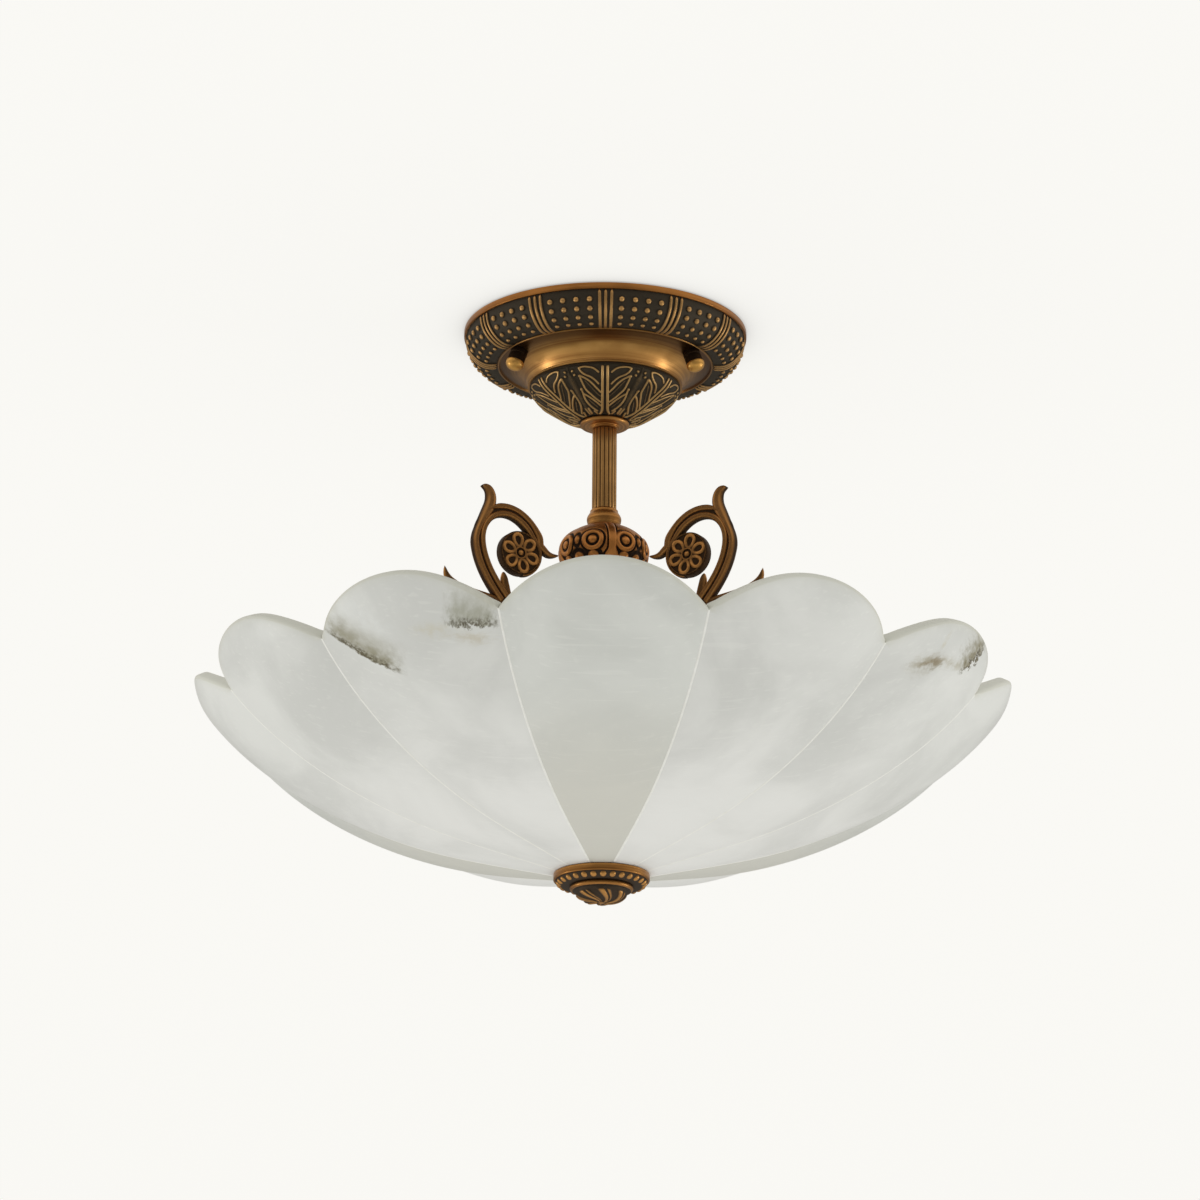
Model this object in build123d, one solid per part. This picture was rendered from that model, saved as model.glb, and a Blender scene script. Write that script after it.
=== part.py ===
from build123d import *
import math
import os

os.makedirs("parts", exist_ok=True)

# Frame: mm, origin on the axis at the ceiling, +Z up, the front faces -Y.
# Azimuth is counted from the front, to the right.
# Shares place the points of a curve between its two ends: of the radius, of the height.

# Clearances
gap_fit = 0.3
gap_seat = 0.05
gap_thread = 0.3
cut_over = 1.0

# Canopy, from the ceiling down: rim, beaded border, lip, hollow band, lower lip and floor
canopy_r = 88.4
canopy_rim_h = 4.0
canopy_wall = 2.2
rim_step = 1.8
border_w = 19.2
border_h = 16.2
border_shares = [(0.12, 0.407), (0.417, 0.753)]
lip_w = 1.4
lip_h = 1.2
band_slope = 20.0
band_straight = 9.0
band_curve_w = 9.4
band_curve_h = 10.325
band_shares = [(0.489, 0.322)]
low_lip_w = 0.8
low_lip_h = 1.2
floor_t = 2.4

# Ceiling plate and its lugs
plate_inset = 12.4
plate_t = 2.0
cable_hole_r = 12.0
slot_spacing = 90.0
slot_len = 16.0
slot_r = 2.6
lug_w = 14.0
lug_t = 2.0
lug_inset = 7.2
lug_pad_len = 12.5

# Canopy screws and washers
screw_azimuths = (60.0, -60.0, 180.0)
screw_inset = 4.8
screw_r = 2.0
screw_head_r = 5.3
screw_neck_len = 8.0
screw_dome_r = 5.7
screw_dome_h = 5.2
screw_dome_shares = [(0.28, 0.74)]
screw_len = 7.0
washer_r = 5.0
washer_t = 0.8

# Leaf cup and its collar
cup_inset = 1.5
cup_wall = 2.2
cup_bottom_r = 15.8
cup_h = 22.8
cup_rim_h = 1.4
cup_shares = [(0.087, 0.209), (0.302, 0.464), (0.608, 0.758), (0.865, 0.947)]
collar_r = 15.3
collar_h = 2.9
collar_neck_r = 9.2
collar_neck_h = 2.1
collar_round = 0.8

# Threaded tube through the stem, lock nut and washer
nipple_r = 5.0
nipple_bore_r = 3.7
nipple_over = 2.0
nut_af = 16.0
nut_t = 4.6
nut_washer_r = 13.0
nut_washer_t = 1.6

# Fluted stem
stem_r = 7.6
stem_len = 52.85
flute_count = 18
flute_r = 1.05
flute_depth = 0.55

# Stem collar
scol_top_r = 8.3
scol_mid_r = 10.7
scol_low_r = 9.8
scol_h = 11.25
scol_mid_h = 5.6
scol_shares = [(0.542, 0.448)]

# Hub ball; its top and bottom are flat
hub_r = 27.8
hub_rise = 17.8
hub_fall = 20.5
hub_up_h = 16.65
hub_down_h = 16.0
hub_wall = 3.2
hub_hole_r = 12.0

# Cluster body and cap
cluster_apothem = 22.0
cluster_h = 60.95
cluster_wall = 3.6
cluster_top_t = 8.0
cap_t = 5.5
cap_spigot_h = 4.0

# Scroll arms: distance out from the cluster body, height above the arm's screw, half width
arm_t = 7.0
trunk_t = 8.0
leaf_t = 5.6
arm_half_w = 4.3
arm_drop = 2.0
arm_pad_w = 14.0
arm_pad_h = 18.0
arm_pad_t = 4.0
scroll_line = [
    (47.5, 17.0),
    (55.6, 27.0),
    (62.6, 38.6),
    (65.8, 48.0),
    (66.6, 56.0),
    (65.0, 63.4),
    (60.0, 70.6),
    (51.0, 75.0),
    (41.4, 74.1),
    (32.6, 68.6),
    (26.9, 60.4),
    (25.4, 52.0),
    (27.8, 44.4),
    (33.2, 39.4),
]
scroll_end_shares = (0.8, 0.5, 0.2)
trunk = [(1.0, -1.0, 4.6), (16.0, 0.0, 4.4), (32.0, 6.0, 4.3), (48.5, 17.8, arm_half_w)]
top_leaf = [(59.5, 73.0, 3.9), (57.8, 80.6, 4.2), (58.6, 85.6, 3.5), (61.0, 88.4, 2.4), (63.8, 88.9, 1.3)]
hub_leaf = [(27.6, 61.6, 3.2), (22.6, 55.2, 2.7), (18.0, 52.1, 1.7), (14.2, 51.7, 1.1), (10.8, 52.4, 0.4)]
small_leaf = [(45.5, 17.0, 4.0), (47.4, 26.4, 3.3), (48.2, 32.4, 2.3), (48.7, 35.4, 1.2)]
outer_leaf = [
    (32.0, 7.0, 3.4),
    (48.0, 14.8, 3.3),
    (62.0, 17.6, 3.2),
    (73.5, 19.4, 3.2),
    (82.6, 22.6, 3.0),
    (87.8, 27.4, 2.5),
    (89.0, 32.8, 1.1),
]
groove_half_w = 0.9
groove_depth = 0.9
rosette_at = (38.2, 49.2)
rosette_r = 14.0
rosette_t = 6.6
rosette_boss_r = 4.2
rosette_boss_h = 1.4
rosette_petals = 6
rosette_turn = 30.0
rosette_hollow_r = 3.1
rosette_hollow_at = 8.6
rosette_hollow_depth = 0.9
arm_screw_r = 2.5
arm_screw_head_r = 4.2
arm_screw_head_t = 2.8
arm_screw_len = 11.0

# Lampholders and bulbs, along the bulb axis from the face of the cluster body
holder_azimuths = (0.0, 120.0, -120.0)
holder_rise = 19.0
holder_r = 14.0
holder_len = 40.0
holder_bore_r = 8.2
holder_floor = 15.0
holder_lip = 1.6
spigot_r = 5.0
spigot_short = 0.2
spigot_bore_r = 3.0
shell_t = 0.7
shell_up = 3.0
shell_down = 4.0
contact_gap = 0.2
contact_r = 2.2
contact_h = 1.0
bulb_tip_r = 4.4
bulb_tip_h = 1.8
bulb_flare_gap = 0.8
bulb_flare_h = 4.2
bulb_flare_r = 9.4
bulb_flare_lip = 1.0
bulb_neck_step = 0.4
bulb_neck_shares = (0.22, 0.86)
bulb_glass_r = 22.5
bulb_glass_up = 25.0
bulb_glass_wall = 1.0

# Wires, terminal block and earth screws
wire_r = 0.9
wire_lay_r = 1.8
wire_hole_r = 1.3
wire_over = 1.0
wire_angles = (90.0, 210.0, 330.0)
block_size = (26.0, 16.0, 12.0)
block_inset = 8.0
block_pitch = 9.0
block_hole_len = 6.0
splice_r = 1.5
live_splice_drop = 6.95
neutral_splice_drop = 14.95
wire_pair = 1.5
wire_end_at = 12.0
branch_bend_r = 3.0
earth_at = (-22.0, -24.0)
earth_low_r = 12.0
earth_low_azimuth = 60.0
earth_dip = 8.0
earth_rise = 6.0
tag_r = 5.4
tag_t = 0.8
earth_screw_r = 2.0
earth_head_r = 3.4
earth_head_t = 2.4

# Bowl of petals; the profile is the middle line of a petal's outside: radius, height above the bowl's flat
bowl_drop = 127.5
petal_count = 12
petal_t = 8.0
petal_axis_tilt = 36.0
petal_axis_up = 14.5
petal_spread = 34.0
petal_profile = [
    (12.0, -4.0),
    (29.5, 0.0),
    (107.0, 17.5),
    (151.0, 33.5),
    (189.0, 53.5),
    (219.0, 75.5),
    (237.5, 94.0),
    (247.2, 108.5),
    (250.0, 119.8),
    (250.4, 127.5),
]
petal_tip = petal_profile[-2]
petal_steps = 14
lobe_r = 72.5
lobe_lean = 22.0
petal_round = 2.4
seam_gap = 0.8
bowl_hole_r = 9.0
bowl_flat_in_r = 35.0
bowl_flat_t = 8.0

# Rod, stop plate, nut and gaskets
rod_r = 4.0
rod_over = 4.05
gasket_t = 1.5
gasket_in_r = 33.0
gasket_out_r = 26.0
stop_r = 34.0
stop_t = 2.5
stop_nut_af = 13.0
stop_nut_t = 6.5

# Finial
finial_r = 29.2
finial_band_h = 4.2
finial_cup_h = 7.4
finial_bead_r = 25.6
finial_bead_size = 1.9
knob_r = 19.2
knob_ring_h = 3.0
knob_dome_r = 16.0
knob_dome_h = 7.75
knob_shares = [(0.14, 0.516), (0.5, 0.865)]
knob_grip = 2.25
knob_bore_over = 2.3

nip_hole_r = nipple_r + gap_thread
rod_hole_r = rod_r + gap_thread
far = 600.0


def turned(points):
    """Solid turned about Z from a closed outline of (radius, height) points and curves between them."""
    edges = []
    last = None
    first = None
    for item in points:
        if isinstance(item, tuple):
            here = (item[0], 0, item[1])
            if last is not None:
                edges.append(Line(last, here))
            first = first or here
            last = here
        else:
            curve = Spline(last, *[(r, 0, z) for r, z in item])
            edges.append(curve)
            last = (item[-1][0], 0, item[-1][1])
    edges.append(Line(last, first))
    return revolve(make_face(edges), Axis.Z)


def bend(start, end, shares):
    """Points of a curve from start to end, each at its shares of the radius and of the height."""
    inner = [(start[0] + (end[0] - start[0]) * a, start[1] + (end[1] - start[1]) * b) for a, b in shares]
    return inner + [end]


def bend_back(start, end, shares):
    """The same curve, run from its end to its start."""
    return bend(start, end, shares)[-2::-1] + [start]


def tube(r_out, r_in, z_top, z_bottom):
    ring = Circle(r_out) - Circle(r_in)
    return Pos(0, 0, z_bottom) * extrude(ring, z_top - z_bottom)


def pin(r, length):
    """Cylinder that stands on the origin."""
    return Cylinder(r, length, align=(Align.CENTER, Align.CENTER, Align.MIN))


def hexagon(af, z_top, z_bottom):
    return Pos(0, 0, z_bottom) * extrude(RegularPolygon(af / 2, 6, major_radius=False), z_top - z_bottom)


def out(azimuth, r=1.0, z=0.0):
    """Point at a radius and height on an azimuth."""
    a = math.radians(azimuth)
    return (r * math.sin(a), -r * math.cos(a), z)


def spun(shape, azimuth):
    """Turns a shape made with +X as its outward direction to an azimuth."""
    return Rot(0, 0, azimuth - 90) * shape


def save(shape, name):
    export_step(shape, f"parts/{name}.step")


# Ceiling plate, canopy and screws
border_r = canopy_r - rim_step
border_in_r = border_r - border_w
border_z = -canopy_rim_h - border_h
band_r = border_in_r - lip_w
band_z = border_z - lip_h
band_mid_r = band_r - band_straight
band_in_r = band_mid_r - band_curve_w
slope = math.tan(math.radians(band_slope))
wall_up = canopy_wall / math.cos(math.radians(band_slope))


def band_height(r):
    """Height of the straight part of the hollow band."""
    return band_z - (band_r - r) * slope


band_mid_z = band_height(band_mid_r)
band_in_z = band_mid_z - band_curve_h
lip_r = band_in_r + low_lip_w
floor_z = band_in_z - low_lip_h
floor_top_z = floor_z + floor_t
border_inner_r = border_r - canopy_wall
canopy = turned([
    (canopy_r, 0),
    (canopy_r, -canopy_rim_h),
    (border_r, -canopy_rim_h),
    bend((border_r, -canopy_rim_h), (border_in_r, border_z), border_shares),
    (border_in_r, band_z),
    (band_r, band_z),
    (band_mid_r, band_mid_z),
    bend((band_mid_r, band_mid_z), (band_in_r, band_in_z), band_shares),
    (lip_r, band_in_z),
    (lip_r, floor_z),
    (nip_hole_r, floor_z),
    (nip_hole_r, floor_top_z),
    (band_in_r - canopy_wall, floor_top_z),
    bend_back((band_mid_r, band_mid_z + wall_up), (band_in_r - canopy_wall, floor_top_z), band_shares),
    (band_r, band_z + wall_up),
    bend_back((border_inner_r, -canopy_rim_h), (band_r, band_z + wall_up), border_shares),
    (border_inner_r, 0),
])

plate_r = border_inner_r - plate_inset
screw_seat_r = band_r - screw_inset
lug_in_r = screw_seat_r - lug_inset
plate = tube(plate_r, cable_hole_r, 0, -plate_t)
for side in (1, -1):
    slot = SlotOverall(slot_len, 2 * slot_r)
    plate -= Pos(side * slot_spacing / 2, 0, -far / 2) * extrude(slot, far)

screw_lean = math.radians(band_slope)
for index, azimuth in enumerate(screw_azimuths):
    down = out(azimuth, math.sin(screw_lean), -math.cos(screw_lean))
    seat = out(azimuth, screw_seat_r, band_height(screw_seat_r))
    local = Plane(origin=seat, x_dir=out(azimuth + 90), z_dir=down)
    pad_z = -(canopy_wall + gap_fit)
    pad = Pos(0, 0, pad_z - lug_t) * extrude(Rectangle(lug_w, lug_pad_len), lug_t)
    strip_z = band_height(lug_in_r) + wall_up + lug_t + gap_fit
    strip = Pos(lug_in_r + lug_t / 2, 0, strip_z) * extrude(Rectangle(lug_t, lug_w), -strip_z - plate_t / 2)
    plate += spun(strip, azimuth) + local * pad
    shank_hole = local * Pos(0, 0, -2 * screw_len) * pin(screw_r + gap_thread, 2 * screw_len + washer_t)
    plate -= shank_hole
    canopy -= shank_hole
    dome_z = washer_t + screw_neck_len
    head = turned([
        (0, -screw_len),
        (screw_r, -screw_len),
        (screw_r, washer_t + gap_seat),
        (screw_head_r, washer_t + gap_seat),
        (screw_head_r, dome_z),
        (screw_dome_r, dome_z),
        bend((screw_dome_r, dome_z), (0, dome_z + screw_dome_h), screw_dome_shares),
    ])
    save(local * head, f"canopy_screw_{index + 1}")
    save(local * tube(washer_r, screw_r + gap_fit, washer_t, gap_seat), f"canopy_washer_{index + 1}")

# Leaf cup and collar
cup_r = lip_r - cup_inset
cup_in_r = cup_r - cup_wall
cup_top_z = floor_z - gap_seat
cup_rim_z = cup_top_z - cup_rim_h
cup_bottom_z = cup_top_z - cup_h
cup_floor = (cup_bottom_r - cup_wall / 2, cup_bottom_z + cup_wall)
leaf_cup = turned([
    (cup_r, cup_top_z),
    (cup_r, cup_rim_z),
    bend((cup_r, cup_rim_z), (cup_bottom_r, cup_bottom_z), cup_shares),
    (nip_hole_r, cup_bottom_z),
    (nip_hole_r, cup_bottom_z + cup_wall),
    cup_floor,
    bend_back((cup_in_r, cup_rim_z), cup_floor, cup_shares),
    (cup_in_r, cup_top_z),
])
save(leaf_cup, "leaf_cup")

collar_top_z = cup_bottom_z - gap_seat
neck_z = collar_top_z - collar_h
collar_bottom_z = neck_z - collar_neck_h
cup_collar = turned([
    (nip_hole_r, collar_top_z),
    (collar_r - collar_round, collar_top_z),
    (collar_r, collar_top_z - collar_round),
    (collar_r, neck_z + collar_round),
    (collar_r - collar_round, neck_z),
    (collar_neck_r, neck_z),
    (collar_neck_r, collar_bottom_z + collar_round),
    (collar_neck_r - collar_round, collar_bottom_z),
    (nip_hole_r, collar_bottom_z),
])
save(cup_collar, "cup_collar")

# Washer and lock nut above the canopy floor
washer_z = floor_top_z + gap_seat
nut_z = washer_z + nut_washer_t + gap_seat
save(tube(nut_washer_r, nip_hole_r, washer_z + nut_washer_t, washer_z), "tube_washer")
save(hexagon(nut_af, nut_z + nut_t, nut_z) - Pos(0, 0, nut_z) * Cylinder(nip_hole_r, 4 * nut_t), "lock_nut")

# Stem and its collar
stem_top_z = collar_bottom_z - gap_seat
stem_bottom_z = stem_top_z - stem_len
stem = tube(stem_r, nip_hole_r, stem_top_z, stem_bottom_z)
flute = Pos(stem_r + flute_r - flute_depth, 0, stem_bottom_z) * pin(flute_r, stem_len)
stem -= [Rot(0, 0, k * 360 / flute_count) * flute for k in range(flute_count)]
save(stem, "stem")

scol_top_z = stem_bottom_z - gap_seat
scol_mid_z = scol_top_z - scol_mid_h
scol_bottom_z = scol_top_z - scol_h
stem_collar = turned([
    (nip_hole_r, scol_top_z),
    (scol_top_r, scol_top_z),
    bend((scol_top_r, scol_top_z), (scol_mid_r, scol_mid_z), scol_shares)
    + [(scol_low_r, scol_bottom_z + collar_round)],
    (scol_low_r, scol_bottom_z),
    (nip_hole_r, scol_bottom_z),
])
save(stem_collar, "stem_collar")

# Hub ball
hub_top_z = scol_bottom_z - gap_seat
hub_z = hub_top_z - hub_up_h
hub_bottom_z = hub_z - hub_down_h


def ball(r, rise, fall):
    """Flattened ball turned from two quarter ellipses, one above and one below its middle."""
    upper = Plane.XZ * Ellipse(r, rise) & Plane.XZ * Pos(r, r) * Rectangle(2 * r, 2 * r)
    lower = Plane.XZ * Ellipse(r, fall) & Plane.XZ * Pos(r, -r) * Rectangle(2 * r, 2 * r)
    return Pos(0, 0, hub_z) * revolve(upper + lower, Axis.Z)


hub = ball(hub_r, hub_rise, hub_fall) - ball(hub_r - hub_wall, hub_rise - hub_wall, hub_fall - hub_wall)
hub &= tube(far, nip_hole_r, hub_top_z, hub_bottom_z)
hub -= tube(hub_hole_r, nip_hole_r / 2, hub_z, hub_bottom_z)
save(hub, "hub_ball")

# Cluster body, its cap and the threaded tube that ends in it
cluster_top_z = hub_bottom_z - gap_seat
cluster_bottom_z = cluster_top_z - cluster_h
cluster_in_z = cluster_top_z - cluster_top_t
cluster_in = cluster_apothem - cluster_wall
cluster = hexagon(2 * cluster_apothem, cluster_top_z, cluster_bottom_z)
cluster -= hexagon(2 * cluster_in, cluster_in_z, cluster_bottom_z)
cluster -= Pos(0, 0, cluster_top_z) * Cylinder(nip_hole_r, 4 * cluster_top_t)
cap_top_z = cluster_bottom_z - gap_seat
cap = hexagon(2 * cluster_apothem, cap_top_z, cap_top_z - cap_t)
cap += tube(cluster_in - gap_fit, rod_hole_r, cap_top_z + cap_spigot_h, cap_top_z)
cap -= Pos(0, 0, cap_top_z) * Cylinder(rod_hole_r, 4 * cap_t)
save(cap, "cluster_cap")
nipple_top_z = nut_z + nut_t + nipple_over
nipple_end_z = cluster_in_z - nipple_over
save(tube(nipple_r, nipple_bore_r, nipple_top_z, nipple_end_z), "threaded_tube")


# Scroll arms
def ribbon(points):
    """Flat tapering strip along a curve; each point is radius, height and half width."""
    line = Spline(*[(r, z) for r, z, half in points])
    left = []
    right = []
    for r, z, half in points:
        along = line % line.param_at_point(Vector(r, z))
        left.append((r - along.Y * half, z + along.X * half))
        right.append((r + along.Y * half, z - along.X * half))
    sides = [Spline(*left), Line(left[-1], right[-1]), Spline(*right), Line(right[0], left[0])]
    return make_face(sides)


def slab(face, thick):
    """Thickens a flat shape of the arm's plane to both sides."""
    return Plane.XZ * extrude(face, thick / 2, both=True)


scroll_widths = [arm_half_w] * (len(scroll_line) - len(scroll_end_shares))
scroll_widths += [arm_half_w * share for share in scroll_end_shares]
scroll = [(r, z, half) for (r, z), half in zip(scroll_line, scroll_widths)]


def rosette():
    """Round disc with a boss and a ring of hollows on both faces."""
    disc = Pos(*rosette_at) * Circle(rosette_r)
    body = slab(disc, rosette_t)
    body += slab(Pos(*rosette_at) * Circle(rosette_boss_r), rosette_t + 2 * rosette_boss_h)
    for k in range(rosette_petals):
        turn = Rot(0, 0, k * 360 / rosette_petals + rosette_turn)
        at = Pos(*rosette_at) * turn * Pos(rosette_hollow_at, 0)
        hollow = slab(at * Circle(rosette_hollow_r), 2 * rosette_t)
        body -= hollow - slab(at * Circle(2 * rosette_hollow_r), rosette_t - 2 * rosette_hollow_depth)
    return body


def arm_body():
    """Scroll arm standing in the XZ plane, its outward side along +X."""
    body = slab(ribbon(scroll), arm_t) + slab(ribbon(trunk), trunk_t)
    for leaf in (top_leaf, hub_leaf, small_leaf, outer_leaf):
        body += slab(ribbon(leaf), leaf_t)
    groove = ribbon([(r, z, groove_half_w) for r, z in scroll_line[1:-len(scroll_end_shares)]])
    body -= slab(groove, 2 * arm_t) - slab(groove, arm_t - 2 * groove_depth)
    body += rosette()
    body += Pos(gap_seat + arm_pad_t / 2, 0, 0) * Box(arm_pad_t, arm_pad_w, arm_pad_h)
    body -= Pos(gap_seat - far / 2, 0, 0) * Box(far, far, far)
    thread = Rot(0, 90, 0) * Cylinder(arm_screw_r + gap_thread, 2 * arm_screw_len)
    return body - thread


holder_z = cluster_bottom_z + holder_rise
arm_root_z = holder_z - arm_drop
arm = Pos(cluster_apothem, 0, arm_root_z) * arm_body()
arm_screws = []
for index, azimuth in enumerate(screw_azimuths):
    save(spun(arm, azimuth), f"arm_{index + 1}")
    bolt_at = Plane(origin=out(azimuth, cluster_in - gap_seat, arm_root_z), z_dir=out(azimuth))
    bolt = Pos(0, 0, -arm_screw_head_t) * pin(arm_screw_head_r, arm_screw_head_t)
    bolt += pin(arm_screw_r, arm_screw_len)
    arm_screws.append(bolt_at * bolt)
    cluster -= bolt_at * Cylinder(arm_screw_r + gap_fit, 4 * cluster_wall)
save(Compound(children=arm_screws), "arm_screws")


# Lampholders and bulbs
spigot_len = cluster_wall - spigot_short
shell_r = holder_bore_r - gap_fit
shell_in_r = shell_r - shell_t
contact_from = holder_floor + contact_gap
bulb_tip_from = contact_from + contact_h
bulb_cap_from = bulb_tip_from + bulb_tip_h
bulb_cap_r = shell_in_r - gap_thread
bulb_flare_from = holder_len + bulb_flare_gap
bulb_cap_to = bulb_flare_from + bulb_flare_h
bulb_neck_r = bulb_flare_r - bulb_neck_step
bulb_glass_mid = bulb_cap_to + bulb_glass_up
holder = turned([
    (spigot_bore_r, -spigot_len),
    (spigot_r, -spigot_len),
    (spigot_r, gap_seat),
    (holder_r, gap_seat),
    (holder_r, holder_len - holder_lip),
    (holder_r - holder_lip, holder_len),
    (holder_bore_r, holder_len),
    (holder_bore_r, holder_floor),
    (spigot_bore_r, holder_floor),
])
bulb_cap = turned([
    (0, bulb_cap_from),
    (bulb_cap_r, bulb_cap_from),
    (bulb_cap_r, bulb_flare_from),
    (bulb_flare_r, bulb_cap_to - bulb_flare_lip),
    (bulb_flare_r, bulb_cap_to),
    (0, bulb_cap_to),
])
bulb_tip = turned([
    (0, contact_from),
    (contact_r, contact_from),
    (contact_r, bulb_tip_from),
    (bulb_tip_r, bulb_cap_from - gap_seat),
    (0, bulb_cap_from - gap_seat),
])


def globe(r, neck_r, start):
    """Bulb glass from its neck to its round end."""
    half = math.sqrt(0.5) * r
    return turned([
        (0, start),
        (neck_r, start),
        [(neck_r + (r - neck_r) * bulb_neck_shares[0], bulb_glass_mid - r * bulb_neck_shares[1]),
         (half, bulb_glass_mid - half),
         (r, bulb_glass_mid),
         (half, bulb_glass_mid + half),
         (0, bulb_glass_mid + r)],
    ])


glass = globe(bulb_glass_r, bulb_neck_r, bulb_cap_to + gap_seat)
glass -= globe(bulb_glass_r - bulb_glass_wall, bulb_neck_r - bulb_glass_wall, bulb_cap_to + gap_seat)
shell_ring = tube(shell_r, shell_in_r, holder_len - shell_down, holder_floor + shell_up)
shells = []
for index, azimuth in enumerate(holder_azimuths):
    face_at = out(azimuth, cluster_apothem, holder_z)
    face = Plane(origin=face_at, x_dir=out(azimuth + 90), z_dir=out(azimuth))
    save(face * holder, f"lampholder_{index + 1}")
    save(face * glass, f"bulb_glass_{index + 1}")
    save(face * bulb_cap, f"bulb_cap_{index + 1}")
    save(face * bulb_tip, f"bulb_tip_{index + 1}")
    shells.append(face * shell_ring)
    cluster -= face * Cylinder(spigot_r + gap_fit, 4 * cluster_wall)
save(Compound(children=shells), "socket_shells")


# Wires, terminal block and earth screws
def wire(path):
    start = Plane(origin=path @ 0, z_dir=path % 0)
    return sweep(start * Circle(wire_r), path=path)


def lay(angle, z):
    a = math.radians(angle)
    return (wire_lay_r * math.cos(a), wire_lay_r * math.sin(a), z)


block_z = -plate_t - gap_seat - block_size[2] / 2
block_y = lug_in_r - block_inset - block_size[1] / 2
block = Pos(0, block_y, block_z) * Box(*block_size)
block_face_y = block_y - block_size[1] / 2
drop_z = nipple_top_z + wire_over
low_turn_z = nipple_end_z - wire_over
live_angle, neutral_angle, earth_angle = wire_angles


def supply_wire(side, angle, splice_z, level):
    """Wire from the terminal block down the stem, crimped to three branches for the lampholders."""
    start = (side * block_pitch / 2, block_face_y + block_hole_len - wire_over, block_z)
    into = lay(angle, drop_z)
    lead = Spline(start, into, tangents=[(0, -1, 0), (0, 0, -1)])
    body = wire(lead) + wire(Line(into, lay(angle, splice_z)))
    body += Pos(*lay(angle, splice_z)) * Sphere(splice_r)
    for azimuth in holder_azimuths:
        shift = out(azimuth + 90, side * wire_pair)
        inner = Vector(*out(azimuth, cluster_in - wire_r, holder_z)) + Vector(*shift)
        end = Vector(*out(azimuth, cluster_apothem + wire_end_at, holder_z)) + Vector(*shift)
        start_way = out(azimuth) if level else (0, 0, -1)
        first = [Vector(*out(azimuth, branch_bend_r, splice_z - wire_r)) + Vector(*shift)] if level else []
        branch = Spline(lay(angle, splice_z), *first, inner, tangents=[start_way, out(azimuth)])
        body += wire(branch) + wire(Line(inner, end))
    return body


save(supply_wire(1, live_angle, cluster_in_z - live_splice_drop, True), "wire_live")
save(supply_wire(-1, neutral_angle, cluster_in_z - neutral_splice_drop, False), "wire_neutral")
for side in (1, -1):
    mouth = Pos(side * block_pitch / 2, block_face_y, block_z) * Rot(90, 0, 0)
    block -= mouth * Cylinder(wire_hole_r, 2 * block_hole_len)
save(block, "terminal_block")

earth_low = out(earth_low_azimuth, earth_low_r)
earth_points = [(earth_at[0], earth_at[1], -plate_t), (earth_low[0], earth_low[1], cluster_in_z)]
earth_screw_len = plate_t - gap_fit
earth_screws = []
tags = []
for x, y, z in earth_points:
    tag_z = z - gap_seat - tag_t
    tags.append(Pos(x, y, 0) * tube(tag_r, earth_screw_r + gap_fit, z - gap_seat, tag_z))
    head = pin(earth_head_r, earth_head_t) + pin(earth_screw_r, earth_head_t + tag_t + earth_screw_len)
    earth_screws.append(Pos(x, y, tag_z - gap_seat - earth_head_t) * head)
    hole = Pos(x, y, z) * Cylinder(earth_screw_r + gap_thread, 2 * (plate_t + cut_over))
    plate -= hole
    cluster -= hole
save(Compound(children=earth_screws), "earth_screws")


def toward(x, y, distance):
    """Point beside the tag's screw, on the side that faces the axis."""
    length = math.hypot(x, y)
    return (x - x / length * distance, y - y / length * distance)


wire_edge = tag_r - wire_r
top_x, top_y = toward(*earth_at, wire_edge)
low_x, low_y = toward(earth_low[0], earth_low[1], wire_edge)
tag_top_z = -plate_t - gap_seat - tag_t / 2
tag_low_z = cluster_in_z - gap_seat - tag_t / 2
lead_top = Spline((top_x, top_y, tag_top_z - wire_r), lay(earth_angle, drop_z),
                  tangents=[(-earth_at[0], -earth_at[1], -earth_dip), (0, 0, -1)])
lead_low = Spline(lay(earth_angle, low_turn_z), (low_x, low_y, tag_low_z - wire_r),
                  tangents=[(0, 0, -1), (earth_low[0], earth_low[1], earth_rise)])
earth = wire(lead_top) + wire(Line(lay(earth_angle, drop_z), lay(earth_angle, low_turn_z))) + wire(lead_low)
earth += tags
earth -= [Pos(x, y, z) * Cylinder(earth_screw_r + gap_fit, 4 * earth_head_t) for x, y, z in earth_points]
save(earth, "wire_earth")
save(plate, "ceiling_plate")
save(canopy, "canopy")
save(cluster, "cluster_body")


# Petals and the cement in their seams
bowl_flat_z = cluster_bottom_z - bowl_drop


def petal_shell():
    """Slab turned about the petal's own leaning axis, cut to its round end and to the flats of the hole."""
    outside = Spline(*[(r, 0, bowl_flat_z + h) for r, h in petal_profile])
    inside_points = []
    for k in range(petal_steps + 1):
        at = outside @ (k / petal_steps)
        along = outside % (k / petal_steps)
        inside_points.append((at.X - along.Z * petal_t, 0, at.Z + along.X * petal_t))
    inside = Spline(*inside_points)
    face = make_face([outside, Line(outside @ 1, inside @ 1), inside, Line(inside @ 0, outside @ 0)])
    tilt = math.radians(petal_axis_tilt)
    axis = Axis((0, 0, bowl_flat_z + petal_axis_up), (math.sin(tilt), 0, math.cos(tilt)))
    body = revolve(face.rotate(axis, -petal_spread), axis, 2 * petal_spread)
    lean = math.radians(lobe_lean)
    front = Plane(origin=(petal_tip[0], 0, bowl_flat_z + petal_tip[1]), x_dir=(0, 1, 0),
                  z_dir=(math.cos(lean), 0, -math.sin(lean)))
    lobe = Pos(0, -lobe_r) * Circle(lobe_r) + Pos(0, -lobe_r - far / 2) * Rectangle(2 * lobe_r, far)
    body &= front * extrude(lobe, far / 2, both=True)
    return body


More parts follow.
